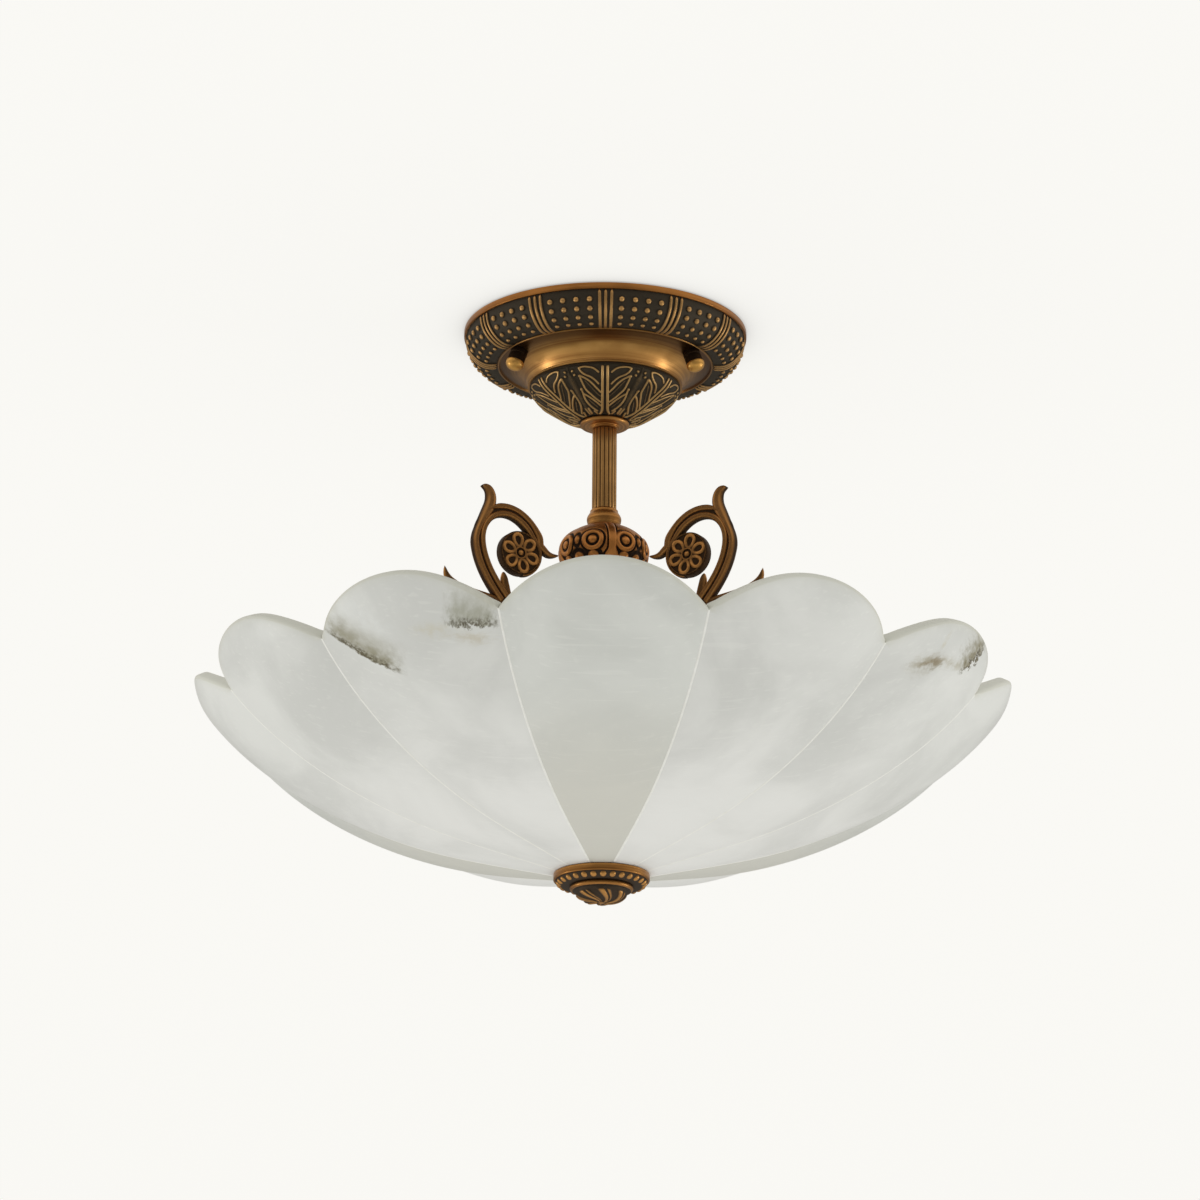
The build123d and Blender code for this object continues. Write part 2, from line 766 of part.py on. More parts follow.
def hole_cuts(body):
    """Opens the hole for the rod and cuts the flats for the gaskets."""
    body -= Pos(0, 0, bowl_flat_z) * Cylinder(bowl_hole_r, far)
    body -= Pos(0, 0, bowl_flat_z - far / 2) * Cylinder(far, far)
    return body - Pos(0, 0, bowl_flat_z + bowl_flat_t + far / 2) * Cylinder(bowl_flat_in_r, far)


half_angle = math.radians(180 / petal_count)
apex = seam_gap / 2 / math.sin(half_angle)
wide = (far - apex) * math.tan(half_angle)
wedge = Pos(0, 0, -far) * extrude(Polygon((apex, 0), (far, -wide), (far, wide), align=None), far)
shell_body = petal_shell()
petal = shell_body & wedge
round_faces = petal.faces().filter_by(GeomType.CYLINDER)
lobe_face = [face for face in round_faces if abs(face.radius - lobe_r) < gap_fit][0]
petal = hole_cuts(fillet([edge for edge in lobe_face.edges() if edge.length > lobe_r], petal_round))
for index in range(petal_count):
    save(spun(petal, index * 360 / petal_count), f"petal_{index + 1:02d}")

seam_slab = Pos(far / 2, 0, 0) * Box(far, seam_gap - 2 * gap_seat, 2 * far)
strip = hole_cuts(shell_body & Rot(0, 0, math.degrees(half_angle)) * seam_slab)
save(Compound(children=[spun(strip, k * 360 / petal_count) for k in range(petal_count)]), "seam_cement")

# Stop plate, nut and gaskets
flat_in_z = bowl_flat_z + bowl_flat_t + gap_seat
save(tube(gasket_in_r, rod_hole_r, flat_in_z + gasket_t, flat_in_z), "gasket_upper")
stop_z = flat_in_z + gasket_t + gap_seat
save(tube(stop_r, rod_hole_r, stop_z + stop_t, stop_z), "stop_plate")
stop_nut_z = stop_z + stop_t + gap_seat
stop_nut = hexagon(stop_nut_af, stop_nut_z + stop_nut_t, stop_nut_z)
save(stop_nut - Pos(0, 0, stop_nut_z) * Cylinder(rod_hole_r, 4 * stop_nut_t), "stop_nut")
gasket_low_z = bowl_flat_z - gap_seat - gasket_t
save(tube(gasket_out_r, bowl_hole_r, bowl_flat_z - gap_seat, gasket_low_z), "gasket_lower")

# Finial and the rod that it is screwed to
recess_z = gasket_low_z - gap_seat
band_top_z = bowl_flat_z - gap_fit
band_low_z = band_top_z - finial_band_h
finial_floor_z = band_top_z - finial_cup_h
bead_out_r = finial_bead_r + finial_bead_size
bead_in_r = finial_bead_r - finial_bead_size
finial_cup = turned([
    (rod_hole_r, recess_z),
    (gasket_out_r + gap_fit, recess_z),
    (gasket_out_r + gap_fit, band_top_z),
    (finial_r, band_top_z),
    (finial_r, band_low_z),
    (bead_out_r, band_low_z - collar_round),
    [(finial_bead_r, finial_floor_z - finial_bead_size / 2), (bead_in_r, finial_floor_z)],
    (rod_hole_r, finial_floor_z),
])
save(finial_cup, "finial_cup")
knob_top_z = finial_floor_z - gap_seat
ring_z = knob_top_z - knob_ring_h
rod_top_z = cap_top_z + cap_spigot_h + rod_over
rod_bottom_z = ring_z - knob_grip
save(Pos(0, 0, rod_bottom_z) * pin(rod_r, rod_top_z - rod_bottom_z), "centre_rod")
knob_bore_z = rod_bottom_z - knob_bore_over
knob = turned([
    (rod_hole_r, knob_top_z),
    (knob_r - collar_round, knob_top_z),
    (knob_r, knob_top_z - collar_round),
    (knob_r, ring_z + collar_round),
    (knob_r - collar_round, ring_z),
    (knob_dome_r, ring_z),
    bend((knob_dome_r, ring_z), (0, ring_z - knob_dome_h), knob_shares),
    (0, knob_bore_z),
    (rod_hole_r, knob_bore_z),
])
save(knob, "finial_knob")
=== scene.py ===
import functools
import math

import bmesh
import bpy
import numpy as np
from mathutils import Matrix


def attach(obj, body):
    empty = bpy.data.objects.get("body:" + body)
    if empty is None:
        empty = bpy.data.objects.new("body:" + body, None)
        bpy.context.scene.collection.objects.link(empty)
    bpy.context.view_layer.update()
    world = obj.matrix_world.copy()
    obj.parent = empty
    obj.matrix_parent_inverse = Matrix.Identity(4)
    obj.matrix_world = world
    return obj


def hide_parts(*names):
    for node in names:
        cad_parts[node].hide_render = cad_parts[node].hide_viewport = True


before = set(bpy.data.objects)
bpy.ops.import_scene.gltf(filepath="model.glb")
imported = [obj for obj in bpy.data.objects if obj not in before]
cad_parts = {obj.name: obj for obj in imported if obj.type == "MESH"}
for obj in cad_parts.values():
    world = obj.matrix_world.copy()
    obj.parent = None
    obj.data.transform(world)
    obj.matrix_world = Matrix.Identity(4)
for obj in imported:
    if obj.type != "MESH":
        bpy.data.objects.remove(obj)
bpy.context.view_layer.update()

# Shapes are worked out in mm, with the frame of the CAD model: the axis is Z, the ceiling is z = 0,
# and the front faces -Y. Azimuth is counted from the front to the right. Meshes are in metres.
MM = 0.001
WELD = 2e-6
FULL_TURN = 2 * math.pi
# Materials under the names given here; Blender renames one whose name the frame already has
made = {}


# Mesh helpers

def grid_faces(rows, columns, round_columns=True, round_rows=False):
    """Quads between neighbours of a grid; a round grid also joins its last row or column to its first."""
    row = np.arange(rows if round_rows else rows - 1)[:, None]
    column = np.arange(columns if round_columns else columns - 1)[None, :]
    row_after = (row + 1) % rows
    column_after = (column + 1) % columns
    corners = (row * columns + column, row * columns + column_after,
               row_after * columns + column_after, row_after * columns + column)
    return np.stack(np.broadcast_arrays(*corners), axis=-1).reshape(-1, 4)


def surface(points, faces, relief=0.0, finish=0):
    """Sheet of a piece: its points, its faces, how raised each point is (with painted shade on some pieces),
    and the number of its finish.
    """
    points = np.asarray(points, float)
    raised = np.broadcast_to(np.asarray(relief, float), points.shape[:-1])
    return points.reshape(-1, 3), faces, raised.ravel(), finish


def lid(ring, relief=0.0):
    """Sheet with one flat face over a closed ring of points."""
    return surface(ring, np.arange(len(ring))[None, :], relief)


def add_object(name, data):
    """New object in the scene."""
    thing = bpy.data.objects.new(name, data)
    bpy.context.scene.collection.objects.link(thing)
    return thing


def add_piece(name, sheets, finishes, node, body="base", crease=38.0):
    """Joins sheets into one mesh, merges points that touch, turns the faces outwards, hangs it on a body."""
    points, faces, raised, marks = zip(*sheets)
    starts = np.cumsum([0] + [len(part) for part in points])
    corners = [face for part, start in zip(faces, starts) for face in (part + start).tolist()]
    mesh = bpy.data.meshes.new(name)
    mesh.from_pydata(np.concatenate(points) * MM, [], corners)
    relief = mesh.attributes.new("relief", "FLOAT", "POINT")
    relief.data.foreach_set("value", np.concatenate(raised).astype(np.float32))
    marks = np.repeat(marks, [len(part) for part in faces]).astype(np.int32)
    mesh.polygons.foreach_set("material_index", marks)
    work = bmesh.new()
    work.from_mesh(mesh)
    bmesh.ops.remove_doubles(work, verts=work.verts, dist=WELD)
    bmesh.ops.dissolve_degenerate(work, edges=work.edges, dist=WELD)
    bmesh.ops.recalc_face_normals(work, faces=work.faces)
    work.to_mesh(mesh)
    work.free()
    mesh.polygons.foreach_set("use_smooth", np.ones(len(mesh.polygons), bool))
    mesh.set_sharp_from_angle(angle=math.radians(crease))
    for finish in finishes:
        mesh.materials.append(made[finish])
    piece = add_object(name, mesh)
    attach(piece, body)
    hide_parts(node)


def unit(ways):
    """Directions brought to length one."""
    ways = np.asarray(ways, float)
    return ways / np.linalg.norm(ways, axis=-1, keepdims=True)


def blend_step(low, high, value):
    """Rises smoothly from 0 at low to 1 at high: 3t^2 - 2t^3."""
    t = np.clip((value - low) / (high - low), 0, 1)
    return t * t * (3 - 2 * t)


def half_round(x):
    """Height of a half circle from -1 to 1, and 0 beyond: sqrt(1 - x^2)."""
    return np.sqrt(np.clip(1 - x ** 2, 0, 1))


def round_angles(count):
    """Even angles round a circle."""
    return np.arange(count) * FULL_TURN / count


def arc_length(line):
    """Distance along a line at each of its points."""
    return np.concatenate([[0], np.cumsum(np.linalg.norm(np.diff(line, axis=0), axis=1))])


def curve_through(points, count):
    """Smooth line through points: a natural cubic spline over the chord length, read at even steps."""
    points = np.asarray(points, float)
    knots = arc_length(points)
    gaps = np.diff(knots)
    inner = np.arange(1, len(points) - 1)
    system = np.eye(len(points))
    system[inner, inner - 1] = gaps[:-1]
    system[inner, inner] = 2 * (gaps[:-1] + gaps[1:])
    system[inner, inner + 1] = gaps[1:]
    slopes = np.diff(points, axis=0) / gaps[:, None]
    right = np.zeros_like(points)
    right[1:-1] = 6 * np.diff(slopes, axis=0)
    bend = np.linalg.solve(system, right)
    at = np.linspace(0, knots[-1], count)
    k = np.clip(np.searchsorted(knots, at, side="right") - 1, 0, len(points) - 2)
    gap = gaps[k][:, None]
    past = (at - knots[k])[:, None]
    left = gap - past
    cubic = (bend[k] * left ** 3 + bend[k + 1] * past ** 3) / (6 * gap)
    before = (points[k] / gap - bend[k] * gap / 6) * left
    return cubic + before + (points[k + 1] / gap - bend[k + 1] * gap / 6) * past


def eased(points, radius, steps=4):
    """Closed outline with round corners: P becomes (1-t)^2 A + 2t(1-t) P + t^2 B, A and B on its sides."""
    points = np.asarray(points, float)
    t = np.linspace(0, 1, steps)[None, :, None]

    def side(shift):
        way = np.roll(points, shift, axis=0) - points
        length = np.linalg.norm(way, axis=1, keepdims=True)
        return (points + way * np.minimum(radius / length, 0.45))[:, None]

    rounded = (1 - t) ** 2 * side(1) + 2 * t * (1 - t) * points[:, None] + t ** 2 * side(-1)
    return rounded.reshape(-1, 2)


def outline_normal(outline):
    """Left-hand normal of an outline that runs down the outside and in below, so it points outwards."""
    run = unit(np.gradient(outline, axis=0))
    return np.stack([-run[:, 1], run[:, 0]], axis=1)


def revolved(radius, height, columns):
    """Points at radii and heights turned about the axis: x = r sin a, y = -r cos a."""
    angle = round_angles(columns)
    return np.stack(np.broadcast_arrays(radius * np.sin(angle), -radius * np.cos(angle), height), axis=-1)


def lathe(outline, columns, relief=0.0, finish=0, lift=0.0, closed=False):
    """Sheet of an outline (r, z) turned about the axis, after lift along the outline's normal."""
    outline = np.asarray(outline, float)
    normal = outline_normal(outline)
    radius = outline[:, :1] + normal[:, :1] * lift
    height = outline[:, 1:] + normal[:, 1:] * lift
    faces = grid_faces(len(outline), columns, round_rows=closed)
    return surface(revolved(radius, height, columns), faces, relief, finish)


def out(azimuth, radius=1.0, height=0.0):
    """Point at a radius and height on an azimuth."""
    a = math.radians(azimuth)
    return np.array([radius * math.sin(a), -radius * math.cos(a), height])


def spun(points, azimuth):
    """Turns points made with +X outwards to an azimuth about the axis."""
    a = math.radians(azimuth - 90)
    x, y, z = points[..., 0], points[..., 1], points[..., 2]
    return np.stack([x * math.cos(a) - y * math.sin(a), x * math.sin(a) + y * math.cos(a), z], axis=-1)


def placed(points, origin, across, along):
    """Moves points from a local frame: across is its X direction and along its Z direction."""
    across, along = unit(across), unit(along)
    beside = np.cross(along, across)
    return origin + points[..., :1] * across + points[..., 1:2] * beside + points[..., 2:] * along


def moved(sheets, move, *values):
    """Sheets with their points moved by a function."""
    return [(move(points, *values), *rest) for points, *rest in sheets]


def spread(sheets, count, start=0.0):
    """Copies of sheets at even azimuths round the axis."""
    return [copy for k in range(count) for copy in moved(sheets, spun, start + k * 360 / count)]


def bead(rings, sides, size, centre, way, side_level):
    """Ball at a spot of the +X side, stretched by size, with its top toward a way; its relief is bright at the
    top and falls to dark at the sides, partly rubbed wear, partly painted shade.
    """
    up = np.linspace(0, math.pi, rings)[:, None]
    turn = round_angles(sides)
    parts = np.sin(up) * np.cos(turn), np.sin(up) * np.sin(turn), np.cos(up)
    ball = np.stack(np.broadcast_arrays(*parts), axis=-1)
    points = placed(ball * size, np.array(centre), (0, 1, 0), way)
    # relief rises from the sides to the top: wear on the top, painted shade on the sides
    return surface(points, grid_faces(rings, sides), np.clip(side_level + np.cos(up), 0, 1), 1)


def strand(line, half_width, half_depth, fullness=1.0, sides=18):
    """Bar along a line of the arm's plane: w cos^p q across, h sin^p q out of the plane, q round it."""
    line = np.asarray(line, float)
    way = unit(np.gradient(line, axis=0))
    turn = round_angles(sides)
    wide = np.sign(np.cos(turn)) * np.abs(np.cos(turn)) ** fullness
    deep = np.sign(np.sin(turn)) * np.abs(np.sin(turn)) ** fullness
    width = np.broadcast_to(half_width, len(line))[:, None] * wide
    depth = np.broadcast_to(half_depth, len(line))[:, None] * deep
    points = np.stack([line[:, :1] - way[:, 1:] * width, depth, line[:, 1:] + way[:, :1] * width], axis=-1)
    return points, grid_faces(len(line), sides), wide, deep


def ridge_height(x, y, lines, half_width, height):
    """Half-round ridges along lines: height times sqrt(1 - (d/w)^2), d the distance to the nearest line."""
    nearest = np.full(np.shape(x), 1e9)
    for line in lines:
        start, step = line[:-1], np.diff(line, axis=0)
        reach = np.maximum((step ** 2).sum(1), 1e-9)
        off_x, off_y = x[..., None] - start[:, 0], y[..., None] - start[:, 1]
        t = np.clip((off_x * step[:, 0] + off_y * step[:, 1]) / reach, 0, 1)
        far = np.hypot(off_x - t * step[:, 0], off_y - t * step[:, 1]).min(axis=-1)
        nearest = np.minimum(nearest, far)
    return height * half_round(nearest / half_width)


# Shader helpers

def spaced(values):
    """Socket names from keywords, with spaces for underscores."""
    return {key.replace("_", " "): value for key, value in values.items()}


def fill(tree, sockets, values):
    """Gives sockets their values, or links them where the value is a socket."""
    for key, value in values.items():
        if isinstance(value, bpy.types.NodeSocket):
            tree.links.new(value, sockets[key])
        else:
            sockets[key].default_value = value


def add_node(tree, kind, inputs=None, **settings):
    """New shader node with its settings and inputs."""
    node = tree.nodes.new("ShaderNode" + kind)
    for key, value in settings.items():
        setattr(node, key, value)
    fill(tree, node.inputs, inputs or {})
    return node


def calculate(tree, operation, *values):
    """Math node on one to three values or sockets."""
    return add_node(tree, "Math", dict(enumerate(values)), operation=operation).outputs[0]


def times(tree, *values):
    """Product of values or sockets."""
    return functools.reduce(lambda first, second: calculate(tree, "MULTIPLY", first, second), values)


def plus(tree, *values):
    """Sum of values or sockets."""
    return functools.reduce(lambda first, second: calculate(tree, "ADD", first, second), values)


def scaled(tree, value, factor, shift):
    """Value times factor plus shift."""
    return calculate(tree, "MULTIPLY_ADD", value, factor, shift)


def mixed(tree, share, first, second):
    """Colour that goes from first to second with share."""
    return add_node(tree, "Mix", {0: share, 6: first, 7: second}, data_type="RGBA").outputs[2]


def ramp(tree, value, low, high, start=0.0, end=1.0):
    """Smooth change from start to end while value goes from low to high."""
    return add_node(tree, "MapRange", {0: value, 1: low, 2: high, 3: start, 4: end},
                    interpolation_type="SMOOTHSTEP").outputs[0]


def noise(tree, vector, scale, detail=3.0, rough=0.5, twist=0.0):
    """Value of a noise texture on a vector."""
    return add_node(tree, "TexNoise", {"Vector": vector, "Scale": scale, "Detail": detail,
                                       "Roughness": rough, "Distortion": twist}).outputs["Fac"]


def place_on(tree):
    """Object coordinates of a material or group."""
    return add_node(tree, "TexCoord").outputs["Object"]


def split(tree, vector):
    """Three parts of a vector."""
    return add_node(tree, "SeparateXYZ", {0: vector}).outputs


def length_of(tree, vector):
    """Length of a vector."""
    return add_node(tree, "VectorMath", {0: vector}, operation="LENGTH").outputs["Value"]


def new_group(name, inputs, outputs):
    """Node group with named sockets: inputs are (kind, name, default), outputs (kind, name)."""
    tree = bpy.data.node_groups.new(name, "ShaderNodeTree")
    for kind, label, default in inputs:
        socket = tree.interface.new_socket(label, in_out="INPUT", socket_type="NodeSocket" + kind)
        socket.default_value = default
    for kind, label in outputs:
        tree.interface.new_socket(label, in_out="OUTPUT", socket_type="NodeSocket" + kind)
    return tree, tree.nodes.new("NodeGroupInput").outputs, tree.nodes.new("NodeGroupOutput").inputs


def use_group(tree, group, **values):
    """Places a group in a material with its own values and gives its outputs."""
    return add_node(tree, "Group", spaced(values), node_tree=group).outputs


def new_material(name, **plain):
    """Material with a Principled shader; plain values go straight to the shader's own sockets."""
    made[name] = material = bpy.data.materials.new(name)
    material.use_nodes = True
    tree = material.node_tree
    shader = tree.nodes["Principled BSDF"]
    fill(tree, shader.inputs, spaced(plain))
    return tree, shader


def feed(tree, shader, bump=None, bump_strength=0.3, bump_depth=0.0004, **sockets):
    """Links sockets to the shader, and a height through a Bump node to its Normal."""
    fill(tree, shader.inputs, spaced(sockets))
    if bump is not None:
        node = add_node(tree, "Bump", {"Strength": bump_strength, "Distance": bump_depth, "Height": bump})
        tree.links.new(node.outputs[0], shader.inputs["Normal"])


def rgb(red, green, blue):
    """Colour of a display, 0 to 255, as the linear values a shader takes."""
    share = np.array([red, green, blue]) / 255
    linear = np.where(share <= 0.04045, share / 12.92, ((share + 0.055) / 1.055) ** 2.4)
    return (*linear.tolist(), 1.0)


# Shared finishes

def make_cast_patina():
    """Rubbed cast brass: raised parts are bright, hollows keep a dark patina, fine noise breaks the edge."""
    tree, given, result = new_group("cast_patina", [
        ("Float", "Raised", 0.5), ("Color", "Bright", (0.5, 0.3, 0.1, 1)),
        ("Color", "Dark", (0.02, 0.015, 0.01, 1)), ("Float", "Start", 0.2), ("Float", "End", 0.8)],
        [("Color", "Color"), ("Float", "Roughness"), ("Float", "Height")])
    place = place_on(tree)
    fine = noise(tree, place, 900.0, 4.0, 0.6)
    broad = noise(tree, place, 85.0, 3.0, 0.55)
    painted_band_shade = plus(tree, given["Raised"], scaled(tree, fine, 0.30, -0.15), scaled(tree, broad, 0.36, -0.18))
    mask = ramp(tree, painted_band_shade, given["Start"], given["End"])
    tone = mixed(tree, ramp(tree, broad, 0.3, 0.7, 0.0, 0.28), given["Bright"], given["Dark"])
    fill(tree, result, {
        "Color": mixed(tree, mask, given["Dark"], tone),
        "Roughness": scaled(tree, fine, 0.14, scaled(tree, mask, -0.26, 0.54)),
        "Height": plus(tree, fine, broad)})
    return tree


def make_turned_lines():
    """Lines left by turning: noise that changes fast with radius and height and slowly round the axis."""
    tree, given, result = new_group(
        "turned_lines", [("Float", "Fineness", 1500.0), ("Float", "Length", 6.0)],
        [("Float", "Lines"), ("Float", "Cloud")])
    place = place_on(tree)
    x, y, z = split(tree, place)
    radius = length_of(tree, add_node(tree, "CombineXYZ", {0: x, 1: y}).outputs[0])
    streak = add_node(tree, "CombineXYZ", {
        0: times(tree, x, given["Length"]), 1: times(tree, y, given["Length"]),
        2: times(tree, calculate(tree, "SUBTRACT", radius, z), given["Fineness"])}).outputs[0]
    fill(tree, result, {"Lines": noise(tree, streak, 1.0, 3.0, 0.6), "Cloud": noise(tree, place, 45.0)})
    return tree


def make_stone_cloud():
    """Polished stone: broad clouds, small flecks and long hair scratches in two directions."""
    tree, given, result = new_group(
        "stone_cloud", [("Float", "Scale", 14.0)],
        [("Float", "Cloud"), ("Float", "Fleck"), ("Float", "Scratch")])
    place = place_on(tree)
    lines = []
    for turn in ((0.3, 0.5, 0.4), (1.2, -0.6, 2.1)):
        along = add_node(tree, "Mapping", {"Vector": place, "Rotation": turn, "Scale": (9.0, 420.0, 420.0)})
        lines.append(noise(tree, along.outputs[0], 1.0, 2.0))
    fill(tree, result, {
        "Cloud": noise(tree, place, given["Scale"], 5.0, 0.55, 0.6),
        "Fleck": noise(tree, place, 150.0, 3.0, 0.65), "Scratch": times(tree, *lines)})
    return tree


def make_vein():
    """Stain inside an ellipsoid: its distance from the middle, shaken by noise, fades out at the edge."""
    tree, given, result = new_group(
        "stone_vein", [("Vector", "Place", (0, 0, 0)), ("Float", "Fade", 0.3), ("Float", "Shake", 0.5)],
        [("Float", "Mask")])
    shake = calculate(tree, "SUBTRACT", noise(tree, given["Place"], 1.7, 4.0, 0.62, 0.4), 0.5)
    reach = plus(tree, length_of(tree, given["Place"]), times(tree, shake, given["Shake"]))
    fill(tree, result, {"Mask": ramp(tree, reach, 1.0, given["Fade"])})
    return tree


def make_stain():
    """Stain with a ragged sharp edge: blotches that fade away from that edge, and towards its two ends."""
    tree, given, result = new_group(
        "stone_stain", [("Vector", "Place", (0, 0, 0)), ("Float", "Shake", 0.3)],
        [("Float", "Mask"), ("Float", "Edge")])
    place = given["Place"]
    x, y, z = split(tree, place)
    ragged = calculate(tree, "SUBTRACT", noise(tree, place, 4.5, 5.0, 0.65), 0.5)
    rise = plus(tree, z, times(tree, ragged, given["Shake"]))
    reach = plus(tree, calculate(tree, "ABSOLUTE", x), times(tree, ragged, 0.9))
    near = ramp(tree, calculate(tree, "ABSOLUTE", y), 1.0, 0.8)
    inside = times(tree, ramp(tree, rise, -0.03, 0.04), ramp(tree, reach, 1.1, 0.5), near)
    blotch = ramp(tree, noise(tree, place, 3.2, 4.0, 0.6), 0.34, 0.6, 0.65, 1.0)
    fade = times(tree, ramp(tree, rise, 1.05, 0.2), blotch)
    specks = ramp(tree, noise(tree, place, 13.0, 4.0, 0.7), 0.36, 0.56)
    line = times(tree, ramp(tree, rise, 0.26, 0.06), specks)
    fill(tree, result, {"Mask": times(tree, inside, fade), "Edge": times(tree, inside, line)})
    return tree


cast_patina = make_cast_patina()
turned_lines = make_turned_lines()
stone_cloud = make_stone_cloud()
stone_vein = make_vein()
stone_stain = make_stain()


def relief_of(tree):
    """How raised a point of a piece is, with painted shade and highlight mixed in on beads, border ribs, arm
    bars and the canopy band.
    """
    return add_node(tree, "Attribute", attribute_name="relief").outputs["Fac"]


def cast_brass(name, bright, dark, start, end, bump_strength=0.25):
    """Cast and rubbed brass for the pieces with ornament."""
    tree, shader = new_material(name, Metallic=0.92, Specular_IOR_Level=0.5)
    patina = use_group(tree, cast_patina, Raised=relief_of(tree), Bright=bright, Dark=dark,
                       Start=start, End=end)
    feed(tree, shader, patina["Height"], bump_strength, 0.0003, Base_Color=patina["Color"],
         Roughness=patina["Roughness"])


def turned_brass(name, bright, deep, fineness):
    """Turned brass: lines round the axis over clouds of a deeper tone, and painted shade in a dark brown where
    the relief is low.
    """
    tree, shader = new_material(name, Metallic=0.95)
    lines = use_group(tree, turned_lines, Fineness=fineness)
    tone = mixed(tree, ramp(tree, lines["Lines"], 0.3, 0.72), deep, bright)
    tone = mixed(tree, ramp(tree, lines["Cloud"], 0.42, 0.72, 0.0, 0.5), tone, deep)
    # painted shade: low relief, such as the canopy band's upper part, goes to a dark brown
    tone = mixed(tree, ramp(tree, relief_of(tree), 0.0, 0.8, 0.9, 0.0), tone, rgb(78, 50, 24))
    rough = scaled(tree, lines["Lines"], 0.16, 0.24)
    feed(tree, shader, lines["Lines"], 0.12, 0.0002, Base_Color=tone, Roughness=rough)


def local_place(tree, place, middle, turn, size):
    """Place in a box with its own middle, turn and half sizes in mm; the box goes from -1 to 1."""
    return add_node(tree, "Mapping", {
        "Vector": place, "Location": [float(v) * MM for v in middle], "Rotation": turn,
        "Scale": [float(v) * MM for v in size]}, vector_type="TEXTURE").outputs[0]


# Each vein: start and end in mm, half width, where it starts to fade, shake, colour, strength
STONE_VEINS = [
    ((-150, -185, -238), (-120, -195, -255), 14.0, 0.0, 0.9, rgb(232, 235, 232), 0.6),
    ((-108, -205, -262), (-84, -213, -262), 8.0, 0.0, 0.9, rgb(206, 202, 184), 0.7),
    ((-86, -208, -266), (-62, -211, -268), 6.0, 0.0, 1.5, rgb(190, 180, 152), 0.5),
    ((180, -142, -262), (198, -133, -253), 10.0, 0.0, 1.4, rgb(172, 166, 146), 0.9),
    ((187, -138, -259), (198, -133, -254), 6.0, 0.1, 2.4, rgb(138, 124, 96), 0.8),
    ((198, -132, -255), (212, -113, -251), 6.0, 0.1, 1.0, rgb(178, 172, 150), 0.75),
    ((203, -141, -239), (197, -140, -249), 2.4, 0.1, 0.8, rgb(196, 190, 166), 0.7),
]
# Each stain: the ends of its sharp edge and a spot where it has faded, in mm, its shake, colour,
# strength, edge colour
STONE_STAINS = [
    ((-163, -171, -250), (-115, -179, -280), (-134, -195, -255), 0.3,
     rgb(150, 146, 124), 0.95, rgb(84, 76, 52)),
    ((-91, -214, -261), (-59, -216, -262), (-75, -231, -239), 0.5,
     rgb(164, 164, 147), 0.9, rgb(92, 86, 70)),
    ((227, -102, -236), (209, -111, -256), (212, -126, -242), 1.2,
     rgb(138, 131, 104), 1.0, rgb(70, 60, 38)),
]
STAIN_DEPTH = 18.0
EDGE_STRENGTH = 0.92
SAWN_EDGE = rgb(203, 202, 184)


def stained_stone(name, deep, pale, foot):
    """Alabaster: two tones in clouds, another low down, veins at their places, a yellower sawn edge."""
    tree, shader = new_material(name, Specular_IOR_Level=0.32)
    cloud = use_group(tree, stone_cloud, Scale=13.0)
    place = place_on(tree)
    tone = mixed(tree, ramp(tree, cloud["Cloud"], 0.3, 0.7), deep, pale)
    tone = mixed(tree, ramp(tree, cloud["Fleck"], 0.55, 0.8, 0.0, 0.25), tone, rgb(232, 233, 226))
    tone = mixed(tree, ramp(tree, cloud["Scratch"], 0.30, 0.42, 0.0, 0.22), tone, rgb(236, 237, 231))
    low = ramp(tree, split(tree, place)[2], -0.28, -0.34)
    uneven = ramp(tree, cloud["Cloud"], 0.2, 0.6, 0.3, 0.7)
    tone = mixed(tree, times(tree, low, uneven), tone, foot)
    for start, end, wide, fade, shake, colour, strength in STONE_VEINS:
        way = np.subtract(end, start)
        turn = (0, math.atan2(-way[2], math.hypot(way[0], way[1])), math.atan2(way[1], way[0]))
        size = (np.linalg.norm(way) / 2 + wide, wide, wide)
        local = local_place(tree, place, np.add(start, end) / 2, turn, size)
        vein = use_group(tree, stone_vein, Place=local, Fade=fade, Shake=shake)
        grain = ramp(tree, cloud["Fleck"], 0.36, 0.6, 0.25, 1.0)
        tone = mixed(tree, times(tree, vein["Mask"], grain, strength), tone, colour)
    for start, end, far, shake, colour, strength, line_colour in STONE_STAINS:
        way, middle = np.subtract(end, start), np.add(start, end) / 2
        along, away = unit(way), np.subtract(far, middle)
        rise = unit(away - along * (away @ along))
        axes = Matrix(np.stack([along, np.cross(rise, along), rise], axis=1).tolist())
        size = (np.linalg.norm(way) / 2, STAIN_DEPTH, np.linalg.norm(away))
        local = local_place(tree, place, middle, tuple(axes.to_euler()), size)
        stain = use_group(tree, stone_stain, Place=local, Shake=shake)
        tone = mixed(tree, times(tree, stain["Mask"], strength), tone, colour)
        tone = mixed(tree, times(tree, stain["Edge"], EDGE_STRENGTH), tone, line_colour)
    tone = mixed(tree, times(tree, relief_of(tree), 0.55), tone, SAWN_EDGE)
    rough = scaled(tree, cloud["Fleck"], 0.18, 0.34)
    feed(tree, shader, cloud["Scratch"], 0.06, 0.0003, Base_Color=tone, Roughness=rough)


def plain_finish(name, colour, second, scale, rough, metal=0.0, **more):
    """Plain part: two close tones in clouds and a slightly uneven gloss."""
    tree, shader = new_material(name, Metallic=metal, **more)
    place = place_on(tree)
    cloud = noise(tree, place, scale, 4.0, 0.55)
    fine = noise(tree, place, scale * 9, 2.0)
    tone = mixed(tree, ramp(tree, cloud, 0.3, 0.7), colour, second)
    feed(tree, shader, fine, 0.08, 0.0002, Base_Color=tone, Roughness=scaled(tree, fine, 0.16, rough))


